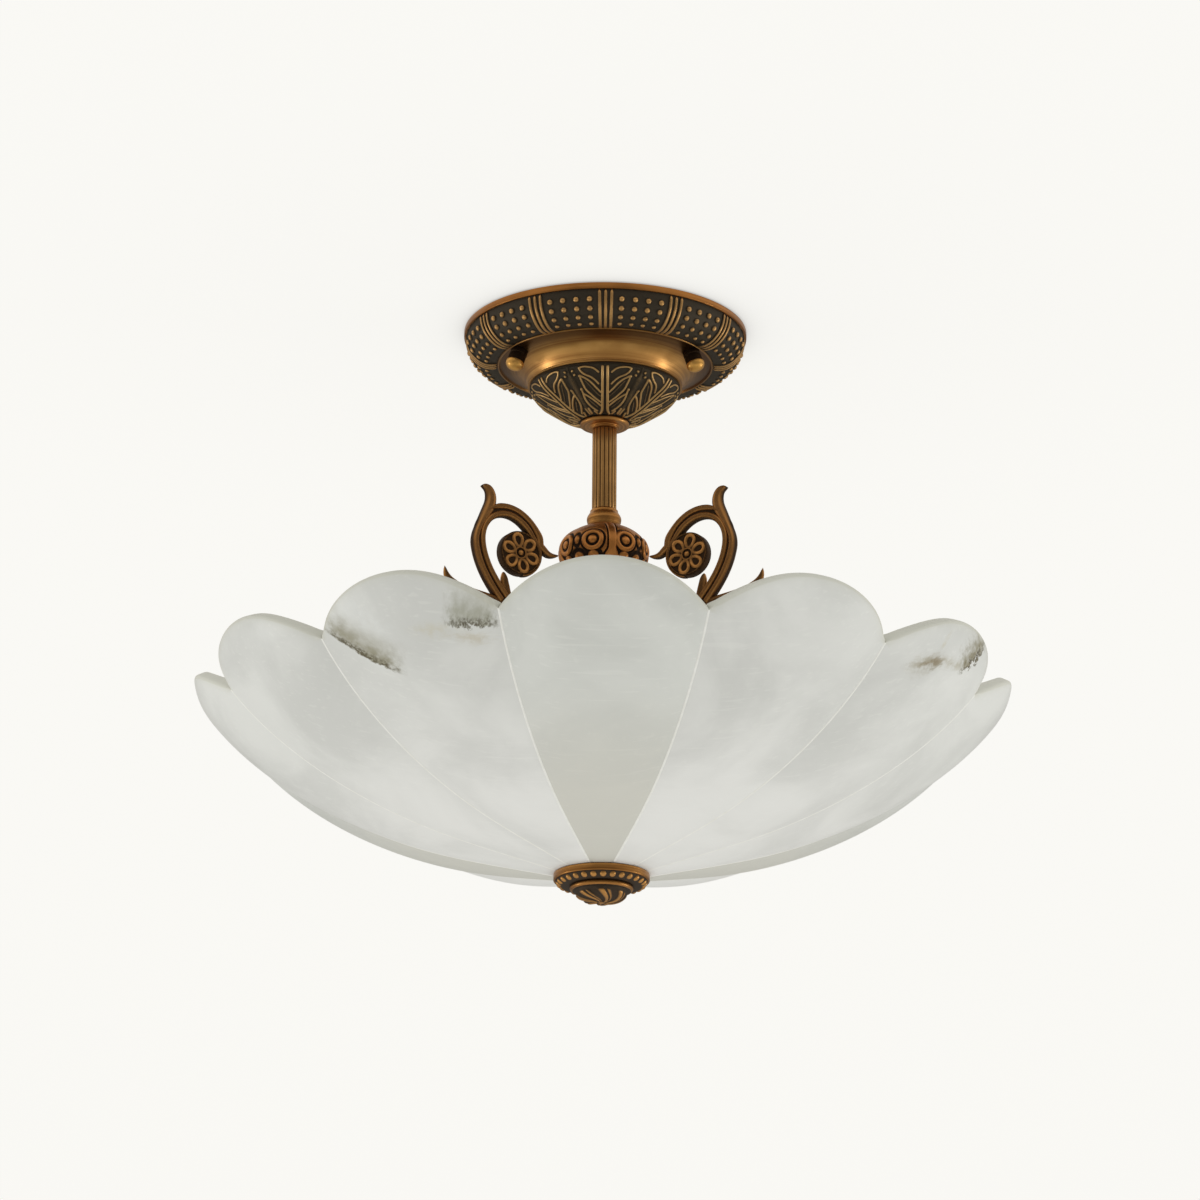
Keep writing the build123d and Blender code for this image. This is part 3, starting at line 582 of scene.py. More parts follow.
stained_stone("alabaster_pale", rgb(211, 212, 207), rgb(228, 229, 224), rgb(240, 240, 236))
stained_stone("alabaster_grey", rgb(205, 207, 201), rgb(220, 222, 216), rgb(208, 206, 194))
cast_brass("border_brass", rgb(212, 164, 102), rgb(74, 67, 57), 0.40, 0.95)
cast_brass("leaf_brass", rgb(214, 172, 112), rgb(70, 62, 51), 0.35, 1.0)
cast_brass("hub_brass", rgb(190, 126, 66), rgb(44, 31, 22), 0.20, 0.75)
cast_brass("arm_brass", rgb(186, 132, 74), rgb(58, 41, 26), 0.15, 1.0)
cast_brass("knob_brass", rgb(204, 150, 84), rgb(72, 62, 52), 0.35, 1.05)
cast_brass("stem_brass", rgb(188, 142, 86), rgb(60, 43, 27), 0.10, 0.95, 0.12)
cast_brass("screw_brass", rgb(226, 172, 92), rgb(54, 39, 26), 0.30, 0.90)
turned_brass("band_brass", rgb(214, 164, 96), rgb(150, 103, 54), 1500.0)
turned_brass("rim_brass", rgb(186, 126, 66), rgb(138, 88, 42), 900.0)
turned_brass("ring_brass", rgb(206, 150, 84), rgb(142, 94, 46), 900.0)
plain_finish("seam_cement_white", rgb(244, 244, 238), rgb(236, 236, 228), 160.0, 0.6)
plain_finish("white_ceramic", rgb(236, 233, 224), rgb(226, 222, 211), 60.0, 0.12)
plain_finish("opal_glass", rgb(240, 238, 231), rgb(233, 231, 224), 30.0, 0.06, Coat_Weight=0.3)
plain_finish("bulb_metal", rgb(190, 190, 186), rgb(168, 168, 165), 220.0, 0.22, 0.95)


# Canopy: rim, beaded border, lip, brushed hollow band, lower lip and floor

OVOLO = curve_through([(86.6, -4.0), (85.0, -11.2), (80.4, -17.8), (73.6, -21.6), (67.4, -21.5)], 40)
CANOPY_COLUMNS = 180
BORDER_PARTS = 12
BAND_TOP = (66.0, -21.4)
FLOOR_TOP = -33.8
TUBE_HOLE_R = 5.3
RIB_R, RIB_SIDES = 1.25, 10
BEAD_ROWS, BEAD_SIZES, BEAD_SINK = [0.2, 0.39, 0.58, 0.76], [2.15, 2.1, 1.9, 1.65], -0.3


def on_ovolo(share, lift=0.0):
    """Spots of the border's curve at shares of its length, and the curve's normal there."""
    length = arc_length(OVOLO) / arc_length(OVOLO)[-1]
    normal = outline_normal(OVOLO)
    spot = np.stack([np.interp(share, length, OVOLO[:, k]) for k in (0, 1)], axis=-1)
    face = unit(np.stack([np.interp(share, length, normal[:, k]) for k in (0, 1)], axis=-1))
    return spot + face * lift, face


def border_ribs():
    """Three half-round ribs at each twelfth: round bars sunk in the border, fading at the ends."""
    share = np.linspace(0.01, 0.985, 26)
    spot, face = on_ovolo(share)
    turn = round_angles(RIB_SIDES)
    thick = RIB_R * np.clip(np.sin(math.pi * share) * 6, 0, 1)[:, None] ** 0.5
    high = thick * 0.95 * np.sin(turn)
    ribs = []
    for side in (-1, 0, 1):
        wide = side * (3.0 + 0.8 * (1 - share))[:, None] + thick * np.cos(turn)
        points = np.stack([spot[:, :1] + face[:, :1] * high, wide, spot[:, 1:] + face[:, 1:] * high], axis=-1)
        # relief bright along the outer crest and dark on the sides and under: rubbed wear and painted shade of
        # the ribs' round
        raised = 0.1 + 0.8 * np.clip(np.sin(turn), 0, 1)
        ribs.append(surface(points, grid_faces(len(share), RIB_SIDES), raised, 1))
    return spread(ribs, BORDER_PARTS)


def border_beads():
    """Four rows of four beads in each panel: low balls on the border's curve, smaller towards the lip."""
    sheets = []
    for (r, z), (face_r, face_z), size in zip(*on_ovolo(BEAD_ROWS, BEAD_SINK), BEAD_SIZES):
        ball = bead(6, 9, size, (r, 0, z), (face_r, 0, face_z), 0.1)
        for part in range(BORDER_PARTS):
            for column in (np.arange(4) - 1.5) * 5.6 + 15.0:
                sheets += moved([ball], spun, part * 360 / BORDER_PARTS + column)
    return sheets


def canopy_sheets():
    """Closed outline of the dish turned about the axis; the border is its own sheet with the dark ground."""
    hollow = curve_through([BAND_TOP, (61.5, -23.04), (57.0, -24.68), (52.4, -28.0), (47.6, -34.9)], 30)[1:]
    inner = curve_through([(45.4, FLOOR_TOP), (51.2, -26.2), (57.0, -22.34), (66.0, -19.06), (77.4, -14.2),
                           (82.6, -9.6), (84.4, -4.0)], 24)
    rim = eased([(84.4, -4.0), (84.4, 0), (88.4, 0), (88.4, -3.9), (86.7, -4.0)], 0.5)[6:-3]
    low_lip = [(48.0, -34.95), (48.4, -35.2), (48.4, -36.0), (48.2, -36.2), (TUBE_HOLE_R, -36.2),
               (TUBE_HOLE_R, FLOOR_TOP)]
    lip = [(67.4, -21.5), (67.5, -21.8), (67.4, -22.2), (67.1, -22.45), (66.4, -22.4), BAND_TOP]
    # painted shade: the brushed band darkens towards its top and the lip is dark, standing in for shade and
    # dark reflections; the lower lip is bright
    painted_band_shade = np.concatenate([np.full(len(lip), 0.35),
                             0.8 * blend_step(-0.1, 0.85, np.linspace(0, 1, len(hollow))),
                             np.full(len(low_lip), 0.8), np.full(len(inner), 0.4)])
    rest = np.concatenate([lip, hollow, low_lip, inner])
    return [lathe(rim, CANOPY_COLUMNS, 0.8, 2), lathe([rim[-1], OVOLO[0]], CANOPY_COLUMNS, 0.2, 1),
            lathe(OVOLO, CANOPY_COLUMNS, 0.06, 1), lathe(rest, CANOPY_COLUMNS, painted_band_shade[:, None])]


add_piece("canopy_dish", canopy_sheets() + border_ribs() + border_beads(),
          ["band_brass", "border_brass", "rim_brass"], "canopy")


# Canopy screws: dark neck, bright cap

SCREW_LEAN = math.radians(20)
SCREW_AZIMUTHS = (60.0, -60.0, 180.0)
SEAT_R = 61.2


def screw_sheets(azimuth):
    """Outline of shank, neck and domed cap turned about the screw's own leaning axis."""
    along = out(azimuth, math.sin(SCREW_LEAN), -math.cos(SCREW_LEAN))
    seat = out(azimuth, SEAT_R, BAND_TOP[1] - (BAND_TOP[0] - SEAT_R) * math.tan(SCREW_LEAN))
    neck = [(0, -7.0), (1.7, -7.0), (2.0, -6.6), (2.0, 0.85), (5.0, 0.85), (5.3, 1.2), (5.3, 3.0),
            (4.9, 3.4), (4.9, 4.0), (5.3, 4.4), (5.3, 8.6), (5.6, 8.8)]
    dome = curve_through([(5.7, 9.0), (5.55, 10.6), (4.2, 12.7), (2.2, 13.75), (0.0, 14.0)], 18)
    raised = np.repeat([0.25, 1.0], [len(neck), len(dome)])[:, None]
    screw = lathe(np.concatenate([neck, dome]), 40, raised)
    return moved([screw], placed, seat, out(azimuth + 90), along)


for index, azimuth in enumerate(SCREW_AZIMUTHS, 1):
    add_piece(f"ball_screw_{index}", screw_sheets(azimuth), ["screw_brass"], f"canopy_screw_{index}",
              f"canopy_screw_{index}")


# Leaf cup: six acanthus leaves with raised outlines

CUP_SLANT = curve_through([(47.0, -37.6), (44.2, -42.2), (37.5, -47.6), (28.0, -53.9), (20.0, -57.9),
                           (15.8, -59.15)], 100)
LEAVES = 6
LEAF_COLUMNS = 130
# Right half of a leaf in mm across and down the slant: its rib, the leaflets' outlines and curl, their veins
LEAF_RIB = [(1.6, 1.6), (1.6, 10.8), (1.6, 21.2), (1.6, 30.5), (2.0, 36.0), (2.8, 38.4)]
LEAF_LINES = [
    [(4.1, 5.1), (6.8, 2.8), (10.4, 1.6), (13.8, 1.2), (16.8, 1.6)],
    [(16.8, 1.6), (15.6, 3.6), (11.9, 6.6), (9.0, 8.1), (6.2, 10.6), (4.0, 13.4)],
    [(2.6, 19.8), (5.7, 16.0), (9.0, 11.8), (11.9, 9.2), (16.1, 6.6)],
    [(16.1, 6.6), (15.4, 9.4), (14.2, 12.5), (12.5, 16.5), (9.6, 20.2), (6.2, 24.0), (2.3, 27.7)],
    [(2.5, 30.4), (5.1, 27.5), (8.0, 24.6), (11.4, 21.8), (13.8, 20.2)],
    [(15.2, 16.3), (14.1, 19.6), (13.2, 22.9), (11.5, 26.7), (9.2, 30.2), (6.9, 32.7), (4.6, 35.1)],
    [(10.6, 32.1), (9.3, 35.1), (8.0, 37.6)],
    [(6.4, 35.0), (5.4, 36.6), (4.4, 38.2)],
]
LEAF_VEINS = [[(2.9, 22.9), (6.2, 19.2), (9.6, 14.6), (12.5, 10.8)], [(4.3, 31.8), (7.7, 28.0), (10.0, 25.3)]]
LEAF_KNOBS = [(1.6, 1.7), (16.3, 6.8), (15.1, 16.6), (21.2, 3.0), (19.7, 5.7)]


def both_halves(lines, count=26):
    """Smooth curves through the points of each line and of its mirror image."""
    return [curve_through(np.array(line) * (side, 1), count) for line in lines for side in (-1, 1)]


def tiled(values, count, shift):
    """Values of one part of a ring repeated round it and shifted by columns."""
    return np.roll(np.tile(values, count), shift, axis=1)


def leaf_cup_sheets():
    """Cup outline turned about the axis, lifted by half-round ridges along the lines of six leaves."""
    length = arc_length(CUP_SLANT)
    radius = CUP_SLANT[:, :1]
    across = np.radians((np.arange(LEAF_COLUMNS) / LEAF_COLUMNS - 0.5) * 360 / LEAVES)[None, :] * radius
    down = np.broadcast_to(length[:, None], across.shape)
    ridges = np.maximum.reduce([ridge_height(across, down, both_halves([LEAF_RIB]), 0.95, 1.0),
                                ridge_height(across, down, both_halves(LEAF_LINES), 0.75, 0.85),
                                ridge_height(across, down, both_halves(LEAF_VEINS), 0.45, 0.5)])
    knobs = [np.array([(side * x, y), (side * x, y + 0.1)]) for x, y in LEAF_KNOBS for side in (-1, 1)]
    knobs = ridge_height(across, down, knobs, 1.0, 1.1)
    leaf = np.clip(1 - np.abs(across) / (0.38 * radius), 0, 1) ** 0.5 * 0.5
    beside = math.radians(180 / LEAVES) * radius - np.abs(across)
    tongue = half_round(beside / np.interp(length, (3, 9, 36), (0.5, 2.6, 1.2))[:, None])
    lift = np.maximum.reduce([ridges + leaf, knobs, 0.75 * tongue]) - 0.75
    raised = np.clip(np.maximum.reduce([ridges / 0.9, knobs / 1.1, 0.42 * tongue]), 0, 1) * 0.9 + 0.1
    fade = (blend_step(0.0, 0.5, length) * blend_step(length[-1], length[-1] - 0.5, length))[:, None]
    columns = LEAF_COLUMNS * LEAVES
    shift = -LEAF_COLUMNS // 2
    skin = lathe(CUP_SLANT, columns, tiled(raised, LEAVES, shift), lift=tiled(lift * fade, LEAVES, shift))
    top = [(TUBE_HOLE_R, -59.15), (TUBE_HOLE_R, -57.0), (14.7, -57.0), (24.4, -53.6), (34.2, -47.8),
           (41.6, -41.8), (44.7, -37.6), (44.7, -36.25), (46.9, -36.25), (47.0, -37.6)]
    foot = [(15.8, -59.15), (TUBE_HOLE_R, -59.15)]
    return [skin, lathe(top, columns // 4, 0.2), lathe(foot, columns // 4, 0.2)]


add_piece("acanthus_cup", leaf_cup_sheets(), ["leaf_brass"], "leaf_cup", crease=60.0)


# Collars and stem

def add_ring(name, node, corners, radius):
    """Piece of a closed outline with eased corners turned about the axis."""
    add_piece(name, [lathe(eased(corners, radius), 96, 0.8, closed=True)], ["ring_brass"], node)


add_ring("cup_ring", "cup_collar", [
    (TUBE_HOLE_R, -59.2), (14.5, -59.2), (15.3, -59.95), (15.3, -61.25), (14.7, -62.05), (9.6, -62.15),
    (8.9, -62.55), (9.3, -63.1), (9.2, -63.8), (8.4, -64.1), (TUBE_HOLE_R, -64.1)], 0.5)
add_ring("stem_ring", "stem_collar", [
    (TUBE_HOLE_R, -117.05), (8.1, -117.05), (8.7, -117.7), (8.7, -118.8), (9.4, -119.9), (10.3, -121.3),
    (10.75, -122.8), (10.6, -124.6), (10.0, -126.6), (9.8, -128.25), (TUBE_HOLE_R, -128.25)], 0.7)

FLUTES = 18
FLUTE_COLUMNS = 12
FLUTE_DEPTH = 0.75


def stem_sheets():
    """Tube whose radius follows half-round reeds between narrow grooves, 18 times round."""
    columns = FLUTES * FLUTE_COLUMNS
    wave = np.sqrt(np.abs(np.sin(np.arange(columns) / columns * math.pi * FLUTES)))
    outline = np.array([(TUBE_HOLE_R, -64.15), (7.0, -64.15), (7.6, -64.75), (7.6, -80.0), (7.6, -100.0),
                        (7.6, -116.4), (7.0, -117.0), (TUBE_HOLE_R, -117.0)])
    fluted = np.array([0, 0, 1, 1, 1, 1, 0, 0])[:, None]
    points = revolved(outline[:, :1] - FLUTE_DEPTH * (1 - wave) * fluted, outline[:, 1:], columns)
    return [surface(points, grid_faces(len(outline), columns, round_rows=True), wave)]


add_piece("reeded_stem", stem_sheets(), ["stem_brass"], "stem", crease=50.0)


# Hub ball with ring medallions, straps, drops and a row of arches

HUB_R, HUB_Z, HUB_RISE, HUB_FALL = 27.3, -145.0, 17.5, 20.2
HUB_QUARTER = 130
RING_AZIMUTH = -15.0
NO_SHAPE = -9.0


def hub_sheets():
    """Flattened ball lifted by rings, bosses, straps, drops and arches laid out on one quarter of its skin."""
    turn = np.linspace(math.acos(16.65 / 17.8), math.acos(-16.0 / 20.5), 120)
    rise = np.where(turn < math.pi / 2, HUB_RISE, HUB_FALL) * np.cos(turn)
    outline = np.stack([HUB_R * np.sin(turn), HUB_Z + rise], axis=1)
    azimuth = np.arange(HUB_QUARTER) / HUB_QUARTER * 90.0
    length = arc_length(outline)
    down = length[:, None]
    level, arch_top, strap_end = np.interp((144.2, 150.8, 154.5), -outline[:, 1], length)
    blank = np.full((len(outline), HUB_QUARTER), NO_SHAPE)

    def away(at):
        """Distance round the ball from an azimuth of the quarter, counted the short way."""
        return np.radians((azimuth - at + 45) % 90 - 45)[None, :] * outline[:, :1]

    shapes = [blank]
    for at in (0.0, 45.0):
        reach = np.hypot(away(at), down - level)
        shapes += [1 - (np.abs(reach - 5.7) / 1.65) ** 2, 1 - (reach / 3.1) ** 2]
    strap = 1 - (np.abs(away(26.8)) / (2.6 + 2.2 * blend_step(level + 5, strap_end, down))) ** 4
    shapes.append(np.where(down < strap_end, strap, NO_SHAPE))
    shapes.append(1 - (np.hypot(away(67.6) / 1.9, (down - level + 1.0) / 3.4)) ** 2)
    above = np.clip(arch_top + 3.6 - down, 0, None) / 3.6
    shapes += [1 - np.hypot(away(at) / 3.7, above) ** 2 for at in (0.0, 45.0, 67.5)]
    low_band = 1 - 10 * blend_step(down[-1] - 2.2, down[-1] - 4.0, down)
    crown = 1 - 10 * blend_step(2.0, 4.0, down)
    high = np.maximum(np.maximum.reduce(shapes), np.maximum(low_band, crown))
    raised = np.where(high > 0, np.clip(high, 0, 1) ** 0.5, 0.6 * blend_step(-0.8, -2.5, high))
    edge = blend_step(0.0, 0.6, down) * blend_step(down[-1], down[-1] - 0.6, down)
    shift = int(round(RING_AZIMUTH / 90 * HUB_QUARTER))
    columns = HUB_QUARTER * 4
    skin = lathe(outline, columns, tiled(raised, 4, shift),
                 lift=tiled((raised * 1.5 - 0.6) * edge, 4, shift))
    core = [outline[-1], (TUBE_HOLE_R, outline[-1, 1]), (TUBE_HOLE_R, outline[0, 1]), outline[0]]
    return [skin, lathe(core, columns, 0.1)]


add_piece("medallion_ball", hub_sheets(), ["hub_brass"], "hub_ball", crease=60.0)


# Scroll arms: points are distance out from the axis and height

SCROLL = [(69.5, -188.0), (77.6, -178.0), (84.6, -166.4), (87.8, -157.0), (88.6, -149.0), (87.0, -141.6),
          (82.0, -134.4), (73.0, -130.0), (63.4, -130.9), (54.6, -136.4), (48.9, -144.6), (47.4, -153.0),
          (49.8, -160.6), (55.2, -165.6)]
FLARED_TIP = [(83.6, -133.6), (80.9, -127.6), (80.4, -121.6), (82.4, -117.6), (86.2, -116.0)]
HUB_TIP = [(44.6, -149.6), (40.2, -152.8), (36.4, -153.3), (33.0, -152.6)]
TRUNK = [(22.6, -206.0), (38.0, -205.0), (54.0, -199.0), (70.5, -187.2)]
# Leaf points also have the leaf's half width
SMALL_LEAF = [(67.0, -190.0, 3.6), (69.3, -178.6, 3.0), (70.2, -172.6, 2.4), (70.8, -169.0, 1.4)]
OUTER_LEAF = [(54.0, -198.0, 3.4), (70.0, -190.2, 3.3), (84.0, -187.4, 3.2), (95.5, -185.6, 3.2),
              (104.6, -182.4, 3.0), (109.8, -177.6, 2.5), (111.2, -171.9, 1.2)]
BAR_APART = 2.35
BAR_HALF = 2.1
ROSETTE_AT = (60.2, -155.8)
ROSETTE_COLUMNS = 168
ROSETTE_HALF_T = 2.5
LEAF_STEPS = 36


def tapered(count, width, start=0.0, end=0.0, ease=0.12):
    """Half width along a bar: full in the middle, easing to shares of it at the ends like a quarter round."""
    t = np.linspace(0, 1, count)
    first = half_round(1 - np.clip(t / ease, 0, 1))
    last = half_round(1 - np.clip((1 - t) / ease, 0, 1))
    return width * (start + (1 - start) * first) * (end + (1 - end) * last)


def blunted(t, start, power):
    """Share that falls from 1 to a blunt end: sqrt(1 - s^p), s the way from start to the end."""
    past = np.clip((t - start) / (1 - start), 0, 1)
    return np.sqrt(np.clip(1 - past ** power, 0.03, 1))


def bar_sheet(line, width, depth, edge_bright=False, fullness=0.8):
    """Bar of the arm, bright along both edges of its faces and dark at its sides, or bright at its sides where
    it is a leaf: rubbed wear with painted highlight and painted shade.
    """
    points, faces, wide, deep = strand(line, width, depth, fullness)
    if edge_bright:
        # leaf: its bright edges are rubbed wear and painted highlight
        raised = 0.35 + 0.65 * np.abs(wide) ** 2
    else:
        # bar: bright lines on the faces are painted highlight and the darker sides painted shade, with wear
        raised = (0.5 + 0.5 * np.exp(-((np.abs(wide) - 0.62) / 0.2) ** 2)) * np.abs(deep) ** 0.5
    return surface(points, faces, raised)


def leaf_sheet(points, depth=2.7):
    """Leaf of the arm: half widths are given with the points and smoothed along it."""
    points = np.array(points)
    knots = arc_length(points[:, :2])
    t = np.linspace(0, 1, LEAF_STEPS)
    width = np.interp(t * knots[-1], knots, points[:, 2])
    tip = np.sqrt(np.clip(1 - t ** 10, 0, 1))
    line = curve_through(points[:, :2], LEAF_STEPS)
    return bar_sheet(line, width * tip, depth * tip * np.linspace(1.0, 0.75, LEAF_STEPS), True, 0.9)


def rosette_sheets():
    """Disc turned about its own axis: rim, six leaf loops round a ringed boss, on both faces."""
    radii = np.linspace(0.0, 13.1, 58)
    disc = revolved(radii[:, None], 0.0, ROSETTE_COLUMNS)
    x, y = disc[..., 0], disc[..., 1]
    egg = np.linspace(0, FULL_TURN, 33)[:, None]
    loops = []
    for k in range(6):
        a = math.radians(60 * k + 17)
        way, side = np.array([math.cos(a), math.sin(a)]), np.array([-math.sin(a), math.cos(a)])
        loops.append(8.0 * way + 3.9 * np.cos(egg) * way + (2.9 + 0.6 * np.cos(egg)) * np.sin(egg) * side)
    reach = radii[:, None] * np.ones(ROSETTE_COLUMNS)
    ridge = ridge_height(x, y, loops, 1.3, 1.1) * (0.55 + 0.45 * blend_step(4.5, 9.0, reach))
    ring = half_round((reach - 3.5) / 0.6) * 0.9
    boss = half_round(reach / 2.0) * 1.7
    rim = blend_step(12.3, 12.8, reach) * 0.9
    high = np.maximum.reduce([ridge, ring, boss, rim])
    raised = np.clip(np.maximum.reduce([ridge, boss / 1.7, ring * 0.75, rim * 0.5]), 0, 1)
    edge = [(13.1, 3.4), (13.6, 3.2), (13.9, 2.6), (13.9, -2.6), (13.6, -3.2), (13.1, -3.4)]
    faces = grid_faces(len(radii), ROSETTE_COLUMNS)
    sheets = [surface(np.stack([x, y, side * (ROSETTE_HALF_T + high)], axis=-1), faces, raised)
              for side in (1, -1)]
    sheets.append(lathe(edge, ROSETTE_COLUMNS, 0.25))
    middle = np.array([ROSETTE_AT[0], 0, ROSETTE_AT[1]])
    return moved(sheets, lambda points: middle + points[:, [0, 2, 1]])


def arm_sheets():
    """Arm in its own plane: dark core, two round bars beside it, leaves, rosette, trunk and its pad."""
    scroll = curve_through(SCROLL, 120)
    way = unit(np.gradient(scroll, axis=0))
    outer_side = np.stack([way[:, 1], -way[:, 0]], axis=1)
    outer = scroll + outer_side * BAR_APART
    inner = scroll - outer_side * BAR_APART
    sheets = [surface(*strand(scroll, tapered(120, 3.4, 1.0, 0.3), 2.1, 0.6)[:2])]

    before = np.argmax(np.linalg.norm(inner - ROSETTE_AT, axis=1) < 15.6)
    bend = np.radians(np.linspace(136, 262, 8))[:, None]
    wrap = np.array(ROSETTE_AT) + 14.1 * np.concatenate([np.cos(bend), np.sin(bend)], axis=1)
    t = np.linspace(0, 1, 130)
    width = (BAR_HALF - 1.3 * blend_step(0.66, 0.92, t)) * blunted(t, 0.95, 2)
    line = curve_through(np.concatenate([inner[:before:6], wrap]), len(t))
    sheets.append(bar_sheet(line, width, tapered(len(t), 3.5, 0.9, 0.7)))

    t = np.linspace(0, 1, 90)
    width = BAR_HALF + 1.6 * blend_step(0.60, 0.80, t) * blend_step(1.05, 0.86, t)
    depth = 3.6 * (1 - 0.35 * blend_step(0.62, 0.95, t))
    line = curve_through(np.concatenate([outer[2:40:3], FLARED_TIP]), len(t))
    sheets.append(bar_sheet(line, width * blunted(t, 0.92, 2.2), depth))

    t = np.linspace(0, 1, 80)
    swell = 0.6 * blend_step(0.55, 0.72, t) * blend_step(1.0, 0.75, t)
    width = (0.4 + 1.7 * blend_step(0.0, 0.2, t) + swell) * blunted(t, 0.72, 1.6)
    line = curve_through(np.concatenate([outer[57:104:4], HUB_TIP]), len(t))
    sheets.append(bar_sheet(line, width, tapered(len(t), 3.3, 0.6, 0.4)))

    sheets += [leaf_sheet(SMALL_LEAF), leaf_sheet(OUTER_LEAF)]
    sheets.append(bar_sheet(curve_through(TRUNK, 40), tapered(40, 4.3, 1.0, 0.8), 4.0))
    block = np.stack([np.linspace(22.05, 26.05, 5), np.full(5, -205.0)], axis=1)
    pad, faces = strand(block, (8.6, 9.0, 9.0, 9.0, 8.6), (6.6, 7.0, 7.0, 7.0, 6.6), 0.25, 32)[:2]
    sheets += [surface(pad, faces, 0.4), lid(pad[0], 0.4), lid(pad[-1], 0.4)]
    return sheets + rosette_sheets()


arm = arm_sheets()
for index, azimuth in enumerate(SCREW_AZIMUTHS, 1):
    add_piece(f"scroll_arm_{index}", moved(arm, spun, azimuth), ["arm_brass"], f"arm_{index}", crease=50.0)


# Petals

PETALS = 12
PETAL_T = 8.0
PETAL_TIP = (250.0, -229.7)
LOBE_R = 72.5
LOBE_LEAN = math.radians(22)
HALF_WEDGE = math.radians(180 / PETALS)
SEAM_GAP = 0.8
PETAL_LEAN = math.radians(36)
LEAN_SIN, LEAN_COS = math.sin(PETAL_LEAN), math.cos(PETAL_LEAN)
PETAL_FOOT = np.array([0, 0, -335.0])
AXIS_WAY = np.array([LEAN_SIN, 0, LEAN_COS])
FACE_WAY = np.array([LEAN_COS, 0, -LEAN_SIN])
SIDE_WAY = np.array([0.0, 1.0, 0.0])
PETAL_PROFILE = curve_through([
    (4.0, -355.3), (12.0, -353.5), (29.5, -349.5), (107.0, -332.0), (151.0, -316.0), (189.0, -296.0),
    (219.0, -274.0), (237.5, -255.5), (247.2, -241.0), PETAL_TIP, (250.4, -222.0)], 260)
FLAT_OUT, FLAT_IN, FLAT_IN_R = -349.5, -341.5, 35.0
LOBE_STEPS, SEAM_STEPS, FACE_STEPS, CORNER_STEPS = 44, 64, 15, 6
SMALL_ROUND, LOBE_ROUND = 0.35, 2.05


class Skin:
    """Face of a petal: its profile turned about the leaning axis; a point is foot + a axis + rho (cos, sin)."""

    def __init__(self, profile):
        rise = profile[:, 1] - PETAL_FOOT[2]
        self.along = profile[:, 0] * LEAN_SIN + rise * LEAN_COS
        self.off = profile[:, 0] * LEAN_COS - rise * LEAN_SIN

    def rho(self, a):
        """Distance of the face from the axis."""
        return np.interp(a, self.along, self.off)

    def at(self, a, y):
        """Point at a distance a along the axis and y to the side."""
        deep = np.sqrt(np.clip(self.rho(a) ** 2 - y ** 2, 0, None))
        return PETAL_FOOT + a[..., None] * AXIS_WAY + deep[..., None] * FACE_WAY + y[..., None] * SIDE_WAY

    def seam(self, a, gap):
        """Side distance where the face meets the wedge's plane: A cos q - B sin q = C solved for q."""
        first = self.rho(a) * LEAN_COS * math.sin(HALF_WEDGE)
        second = self.rho(a) * math.cos(HALF_WEDGE)
        level = gap / 2 - a * LEAN_SIN * math.sin(HALF_WEDGE)
        q = np.arccos(np.clip(level / np.hypot(first, second), -1, 1)) - np.arctan2(second, first)
        return self.rho(a) * np.sin(q)

    def lobe(self, turn):
        """Axis distance where the face meets the round end at an angle of its circle, found by halving."""
        y = LOBE_R * np.sin(turn)
        goal = -LOBE_R * (1 - np.cos(turn))
        low, high = np.zeros_like(turn), np.full_like(turn, self.along[-1])
        for _ in range(40):
            middle = (low + high) / 2
            x, _, z = (self.at(middle, y) - (PETAL_TIP[0], 0, PETAL_TIP[1])).T
            short = x * math.sin(LOBE_LEAN) + z * math.cos(LOBE_LEAN) < goal
            low, high = np.where(short, middle, low), np.where(short, high, middle)
        return low, y

    def notch(self):
        """Angle of the round end where it meets the seam."""
        turn = np.linspace(0.2, 1.4, 1200)
        a, y = self.lobe(turn)
        return turn[np.argmax(y > self.seam(a, SEAM_GAP))]


OUTSIDE = Skin(PETAL_PROFILE)
INSIDE = Skin(PETAL_PROFILE + PETAL_T * outline_normal(PETAL_PROFILE))


def half_edge(skin, foot):
    """Edge of half a petal from the tip round the lobe and down the seam, with its spine."""
    lobe_a, lobe_y = skin.lobe(np.linspace(0, skin.notch(), LOBE_STEPS))
    seam_a = lobe_a[-1] + (foot - lobe_a[-1]) * np.linspace(0, 1, SEAM_STEPS)[1:] ** 1.1
    spine = np.concatenate([np.linspace(lobe_a[0] - 14.0, lobe_a[-1], LOBE_STEPS), seam_a])
    return np.concatenate([lobe_a, seam_a]), np.concatenate([lobe_y, skin.seam(seam_a, SEAM_GAP)]), spine


def cut_inside(points):
    """Heights of inside points, cut to the flat for the gasket near the hole."""
    near = np.hypot(points[..., 0], points[..., 1]) < FLAT_IN_R
    return np.where(near, np.minimum(points[..., 2], FLAT_IN), points[..., 2])


